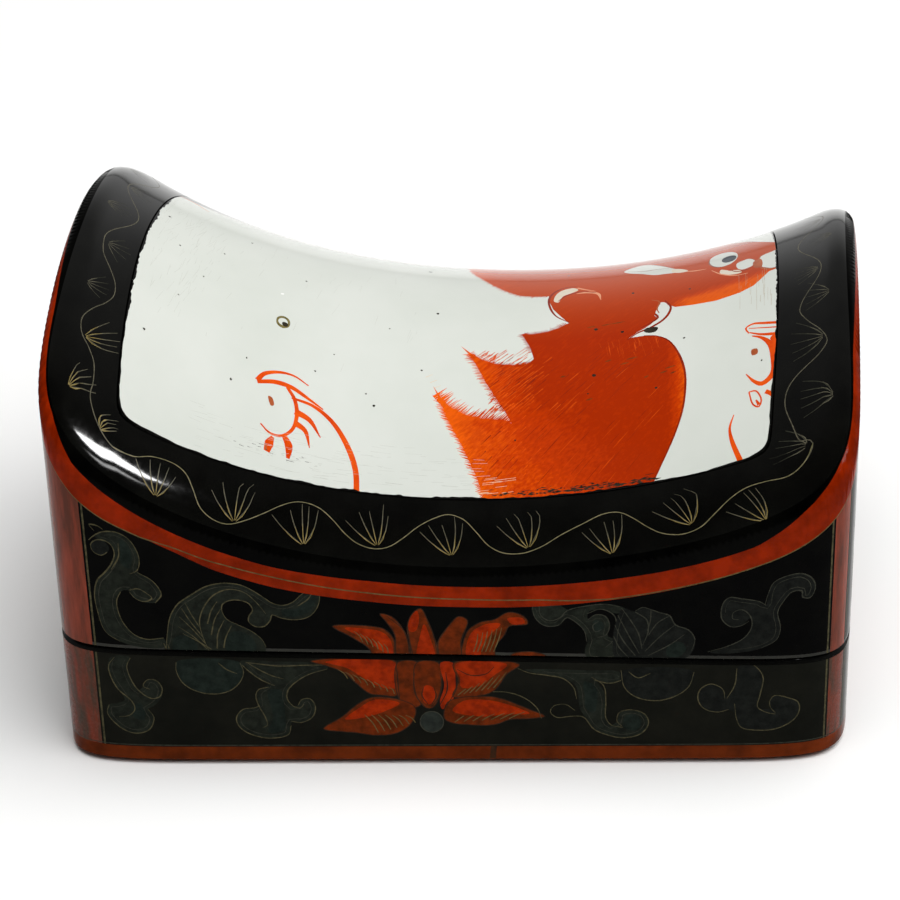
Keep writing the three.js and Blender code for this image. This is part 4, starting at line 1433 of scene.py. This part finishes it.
patch([(38.4, 3.4), (40.7, 4.3), (41.3, 2.2), (40.4, -0.6), (39.6, -3), (38.2, -2.2),
       (38.6, 0.6)], "iron_red")
paint([(39.4, 3.8), (41, 2.6), (40.5, -0.4), (40.9, -2.2)], [0.2, 0.4, 0.2], "rust_mark")
paint([(58, 13), (60.2, 13.7), (61.8, 11.4), (61.2, 8.8), (58.8, 8.3),
       (57.6, 10.4)], [0.1, 0.3, 0.1], "rust_mark")
paint([(71, 15.2), (66, 13.9), (63, 12.9), (62.9, 6.6), (65, 4.5), (68, 4.1),
       (71, 5)], [0.2, 0.3, 0.6, 0.3], "rust_mark")

# Brush lines on the body and its firm right edge
paint([(37.6, -9.4), (40.2, -10.2), (42.6, -12.2), (44.7, -16.6), (46, -22), (46.1, -26), (45.5, -31),
       (44, -35.6),
       (41.8, -40), (38.4, -45.6)], [0.25, 0.5, 0.4, 0.3], "iron_red_deep")
DIRT_MARKS = [
    (32, -3.6, 1.6), (29.6, -3.8, 1), (26.4, -4, 0.9), (35, -16, 1.2), (33.4, -17.2, 0.9), (30, -15.8, 0.7),
    (43, -20.4, 1.1), (41.6, -21.4, 0.8), (43.6, -22, 0.6), (26, -25.6, 0.7), (20.4, -19, 0.6),
    (38, -21.8, 0.5),
]
for x, y, half in DIRT_MARKS:
    panel_sheet.stroke([(x - half, y), (x + half, y + 0.3)], [0.1, 0.42, 0.1], "dirt_brown", step=1)

# Flame scrolls, the left one whole and the right one cut by the edge
paint([(-43.6, -26.6), (-42.2, -24.6), (-39, -23.3), (-36, -23.4),
       (-33, -25)], [1.1, 0.8, 0.5, 0.25], "flame")
paint([(-43.6, -26.9), (-40, -25.9), (-36.6, -26.2), (-33, -28),
       (-29.8, -29.8)], [0.8, 1.1, 0.8, 0.3], "flame")
paint([(-37.4, -26.4), (-35.8, -28.8), (-35.2, -32), (-36, -35.2), (-38.2, -37), (-40.6, -37),
       (-42.6, -35.6)],
      [0.7, 0.9, 0.6, 0.3], "flame")
paint([(-36.4, -28.6), (-32, -29.4), (-28, -32), (-24.6, -36.6), (-22.8, -41),
       (-22.5, -46)], [0.5, 0.9, 1.2, 1.2],
      "flame")
paint([(-35.6, -31.4), (-32.6, -32.6), (-30.2, -35.8)], [1.4, 1.0, 0.2], "flame")
paint([(-35.6, -33.8), (-33.4, -35), (-32.4, -38.2)], [1.3, 0.9, 0.2], "flame")
paint([(-37.8, -36.8), (-36.7, -38.6), (-36.8, -41)], [0.9, 1.7, 0.7], "flame")
paint([(-40, -37.6), (-40.7, -39), (-41.2, -40.6)], [0.7, 1.9, 1.2], "flame")
paint([(-41.4, -39.2), (-41.3, -40.4)], [0.2, 0.5], "rust_mark")
patch([(-41.2, -29.4), (-40.4, -29.6), (-40, -31.2), (-40.6, -31.4)], "rust_mark", step=0.5)
paint([(59.6, -16.4), (59, -14.6), (60.4, -13.9), (63, -14.8), (69, -17.4)], [0.3, 0.7, 0.7], "flame")
paint([(59.6, -14.9), (63, -16.2), (69, -18.6)], [0.2, 0.35, 0.2], "flame")
paint([(59.7, -16.2), (62, -17.7), (65, -18.9), (69, -20.2)], [0.3, 0.8, 0.6], "flame")
paint([(60.2, -17.4), (62, -18.6), (63.8, -21.1), (64.5, -24.6), (64.5, -28), (63.8, -29.4), (62, -30.4),
       (60.4, -29.4),
       (58.7, -27)], [0.3, 1.2, 1.5, 1.1, 0.2], "flame")
patch([(64, -19.4), (64.8, -22.6), (65, -28.4), (70, -28.4), (70, -19.4)], "flame")
patch([(60, -21.2), (61.1, -21.3), (61.2, -22.7), (60.1, -22.8)], "rust_mark")
paint([(59.2, -31.4), (60.6, -31.6), (61.7, -34), (61.2, -35.2), (60, -34.4),
       (59.2, -31.4)], [0.3, 0.36, 0.3], "flame")
paint([(60.6, -33.6), (61.2, -34.8)], [0.3, 0.7], "flame")
paint([(62.6, -32.4), (63.8, -33.4), (65, -35.8)], [0.9, 0.8, 0.4], "flame")
paint([(56, -35.3), (55.1, -37.8), (55.5, -40.4), (57.2, -44.6), (58, -46.4)], [0.2, 0.9, 1.2], "flame")
for number in range(26):
    x, y = strand.uniform(57.4, 64.6), strand.uniform(-8, 4)
    half = strand.uniform(1, 4)
    panel_sheet.stroke([(x, y - half), (x + 0.15, y + half)], [0.04, strand.uniform(0.08, 0.2), 0.04],
                       "scratch_brown", step=9)

# Pit, specks and dirt in the glaze
ring = oval(-39, -9.2, 1.25, 1.5, 12)
panel_sheet.stroke(np.concatenate([ring, ring[:1]]), [0.5, 0.7, 0.4, 0.9, 0.5], "pit_olive", step=0.6)
patch([(-39, -9.2), (-38.2, -9.3), (-37.9, -10), (-38.5, -10.6), (-39.2, -10)], "dark_mark", step=0.4)
SPECKS = [
    (-19.3, -27.2, 0.3), (-49, -28.2, 0.28), (-9.5, -17, 0.25), (-46, -22, 0.2), (27, -19.3, 0.45),
    (27.4, -5, 0.5), (40, -25, 0.3), (25.7, -24, 0.25), (-9, 26.5, 0.5), (-6.6, 2.4, 0.35),
    (-21, -24.6, 0.22), (-64.4, 15.2, 0.3), (46, -12.6, 0.3), (35.4, 8.6, 0.4), (33, -7, 0.35),
    (47.6, 5.6, 0.3), (-31.8, -21, 0.22), (62, -24.8, 0.25), (-56, -3, 0.2), (-60.6, -12, 0.2),
    (-52.4, 9, 0.22), (-16.6, -5, 0.2), (-28, -15.6, 0.18), (10.4, -33.6, 0.2), (-66.8, -25, 0.3),
    (-61.4, 4.6, 0.25), (-47.4, 20, 0.28), (21.4, 24.6, 0.3), (30.8, 33, 0.3), (-35, 8, 0.2),
]
for x, y, size in SPECKS:
    around_speck = np.linspace(0, 2 * math.pi, 7)[:-1] + strand.uniform(0, 1)
    wobble = size * strand.uniform(0.7, 1.25, len(around_speck))
    speck = np.stack([x + np.cos(around_speck) * wobble, y + np.sin(around_speck) * wobble], -1)
    panel_sheet.area(speck, "dark_mark")
panel_sheet.area([(-40, 0), (-39.4, 0.1), (-39.3, 0.6), (-39.9, 0.5)], "white_mark")
patch([(38, -7), (39.4, -6.9), (40.6, -7.4), (40.2, -8.6), (38.8, -8.8), (37.6, -8)], "dark_mark", step=0.5)
for number in range(190):
    x = -66.5 + 14 * strand.random() ** 1.4 if number % 4 else strand.uniform(-60, -10)
    y = strand.uniform(-20, 32) if number % 3 else strand.uniform(2, 30)
    lean = strand.normal(0.22, 0.12)
    half = strand.uniform(0.4, 2.4)
    way = np.array([math.sin(lean), math.cos(lean)]) * half
    panel_sheet.stroke([(x, y) - way, (x, y) + way],
                       [0.04, strand.uniform(0.08, 0.24), 0.04], "faint_mark", step=9)
for number in range(120):
    x, y = strand.uniform(-56, 4), -35.5 - 8 * strand.random()
    half = strand.uniform(0.4, 2.2)
    panel_sheet.stroke([(x - half, y), (x + half, y + strand.normal(0, 0.12))],
                       [0.04, strand.uniform(0.08, 0.22), 0.04], "faint_mark", step=9)

# Lacquer that laps over the panel's edge, uneven as in the photograph
LAP_STEPS = 1080
edge_angles = np.linspace(0, 2 * math.pi, LAP_STEPS + 1)
lap = np.random.default_rng(3)


def unevenness(width):
    """Random heights round the panel, softened over the given number of steps"""
    rough = lap.normal(0, 1, LAP_STEPS)
    kernel = np.hanning(width + 2)[1:-1]
    kernel /= np.sqrt((kernel**2).sum())
    soft = np.convolve(np.tile(rough, 3), kernel, "same")[LAP_STEPS:2 * LAP_STEPS]
    return np.r_[soft, soft[0]]


depth = np.clip(0.2 + 0.12 * unevenness(31) + 0.07 * unevenness(5), 0.04, 0.7)
outer = np.stack(panel_point(edge_angles, -1.0), -1)
inner = np.stack(panel_point(edge_angles, 0), -1)
inward = inner - np.stack(panel_point(edge_angles, 1.0), -1)
inner = inner - inward * depth[:, None]
for i in range(LAP_STEPS):
    panel_sheet.area([outer[i], outer[i + 1], inner[i + 1], inner[i]], "black_lacquer")
panel_sheet.blob([(-69, 50), (-67, 36), (-64.6, 33.8), (-60, 35.4), (-54, 37.4), (-48, 39.8),
                  (-44, 42.4), (-40, 50)],
                 "black_lacquer")
panel_sheet.stroke([(-65, 34.4), (-61, 34.6), (-57.6, 31.8)], [0.2, 0.8, 0.2], "pale_wash", step=1)
panel_sheet.area([(63.6, -50), (62.4, -44.2), (63.4, -38.6), (64.2, -33), (65.2, -28), (75, -26),
                  (75, -50)],
                 "black_lacquer")
front_low = np.stack(panel_point(np.linspace(math.pi * 1.26, math.pi * 1.74, 400), 0.5), -1)
for number in range(130):
    x = strand.uniform(5, 40) if number % 3 else strand.normal(26, 5)
    y = np.interp(x, front_low[:, 0], front_low[:, 1]) + abs(strand.normal(0, 0.4))
    half = strand.uniform(0.15, 1.1)
    slope = strand.normal(0.02, 0.05)
    panel_sheet.stroke([(x - half, y - slope), (x, y + strand.normal(0, 0.08)), (x + half, y + slope)],
                       [0.05, strand.uniform(0.1, 0.34), 0.05], "dark_mark", step=1)
for number in range(46):
    x = strand.choice((-45, -40.4, -31.5, -36)) + strand.normal(0, 1.6)
    y = np.interp(x, (-52, -24), (-39.4, -42)) + strand.normal(0, 0.5)
    half = strand.uniform(0.1, 0.5)
    material = "faint_mark" if number % 3 else "dark_mark"
    panel_sheet.stroke([(x - half, y), (x + half, y + strand.normal(0, 0.1))],
                       [0.08, strand.uniform(0.1, 0.3), 0.06], material, step=1)

panel_outline = np.stack(panel_point(np.linspace(0, 2 * math.pi, 241)[:-1], 0), -1)
panel_x, panel_y = np.meshgrid(np.arange(-72, 70, 2.5), np.arange(-46, 47, 2.5))
panel_grid = np.stack([panel_x.ravel(), panel_y.ravel()], -1)
panel = Body("panel_painted")
loops = sheet_body(panel, panel_sheet, panel_surface, panel_outline, panel_grid, "porcelain")
for loop, places in loops:
    x, y = places.T
    under = [(x * k, y * k, saddle_z(x * k, y * k) - PANEL_THICKNESS) for k in INWARD]
    strips(panel, loop, ring_rows(*under),
           (0, 0, saddle_z(0, 0) - PANEL_THICKNESS), "porcelain", "black_lacquer")
panel.finish("porcelain_panel")

# Floor
n = Nodes("floor")
n.set(Base_Color=n.blend(n.noise(3, 2), colour(247, 247, 246), colour(250, 250, 249)), Roughness=0.9)
n.shader.inputs["Specular IOR Level"].default_value = 0.1
floor_mesh = bpy.data.meshes.new("floor")
FLOOR_HALF = 6
corners = [(x * FLOOR_HALF, y * FLOOR_HALF, 0) for x, y in ((-1, -1), (1, -1), (1, 1), (-1, 1))]
floor_mesh.from_pydata(corners, [], [(0, 1, 2, 3)])
floor_mesh.materials.append(MATERIALS["floor"])
floor = bpy.data.objects.new("floor", floor_mesh)
bpy.context.scene.collection.objects.link(floor)

# Camera, fitted to the outline in the photograph: the focal length is in pixels of it
FOCAL_PIXELS, PHOTO_PIXELS, SENSOR = 4456.7, 900, 36
AIM = Vector((-4.675, 0, 44.781)) * MM
camera_data = bpy.data.cameras.new("camera")
camera = bpy.data.objects.new("camera", camera_data)
bpy.context.scene.collection.objects.link(camera)
camera_data.sensor_width = SENSOR
camera_data.lens = FOCAL_PIXELS / PHOTO_PIXELS * SENSOR
elevation, yaw, roll, distance = math.radians(33.565), math.radians(2.394), math.radians(-1.585), 0.9751
level_reach = math.cos(elevation)
back = Vector((math.sin(yaw) * level_reach, -math.cos(yaw) * level_reach, math.sin(elevation)))
right = (-back).cross(Vector((0, 0, 1))).normalized()
up = right.cross(-back)
right_rolled = right * math.cos(roll) + up * math.sin(roll)
up_rolled = up * math.cos(roll) - right * math.sin(roll)
turn = Matrix((right_rolled, up_rolled, back)).transposed()
camera.matrix_world = Matrix.Translation(AIM + back * distance) @ turn.to_4x4()
bpy.context.scene.camera = camera

# Light
CENTRE = (0, 0, 0.06)


def softbox(name, place, size, power):
    light = bpy.data.lights.new(name, "AREA")
    light.shape = "RECTANGLE"
    light.size, light.size_y = size
    light.energy = power
    lamp = bpy.data.objects.new(name, light)
    bpy.context.scene.collection.objects.link(lamp)
    lamp.location = place
    lamp.rotation_euler = (Vector(CENTRE) - Vector(place)).to_track_quat("-Z", "Y").to_euler()
    return lamp


def from_angle(azimuth, height):
    """A place one metre from the box's middle, in this direction and at this height in degrees"""
    a, e = math.radians(azimuth), math.radians(height)
    return math.cos(a) * math.cos(e), math.sin(a) * math.cos(e), math.sin(e) + CENTRE[2]


fill = softbox("light_fill", (0.6, -0.45, 2.4), (2.6, 2.6), 90)
fill.visible_glossy = False
softbox("light_key", from_angle(-51, 29), (0.32, 0.1), 4.6).visible_diffuse = False
softbox("light_small", from_angle(-65, 22), (0.05, 0.05), 0.1).visible_diffuse = False
world = bpy.data.worlds.new("world")
bpy.context.scene.world = world
world.use_nodes = True
sky = world.node_tree
direction = sky.nodes.new("ShaderNodeTexCoord").outputs["Generated"]
split = sky.nodes.new("ShaderNodeSeparateXYZ")
sky.links.new(direction, split.inputs[0])


def sky_ramp(axis, from_min, from_max, to_min, to_max):
    ramp = sky.nodes.new("ShaderNodeMapRange")
    ramp.interpolation_type = "SMOOTHSTEP"
    for key, value in (("From Min", from_min), ("From Max", from_max), ("To Min", to_min),
                       ("To Max", to_max)):
        ramp.inputs[key].default_value = value
    sky.links.new(split.outputs[axis], ramp.inputs["Value"])
    return ramp.outputs["Result"]


strength = sky.nodes.new("ShaderNodeMath")
strength.operation = "MULTIPLY"
sky.links.new(sky_ramp("Y", -0.85, 0.75, 0.05, 0.55), strength.inputs[0])
sky.links.new(sky_ramp("Z", 0.1, 0.6, 1.0, 0.4), strength.inputs[1])
sky.links.new(strength.outputs[0], sky.nodes["Background"].inputs["Strength"])
sky.nodes["Background"].inputs["Color"].default_value = (1, 1, 1, 1)
bpy.context.scene.view_settings.view_transform = "Standard"
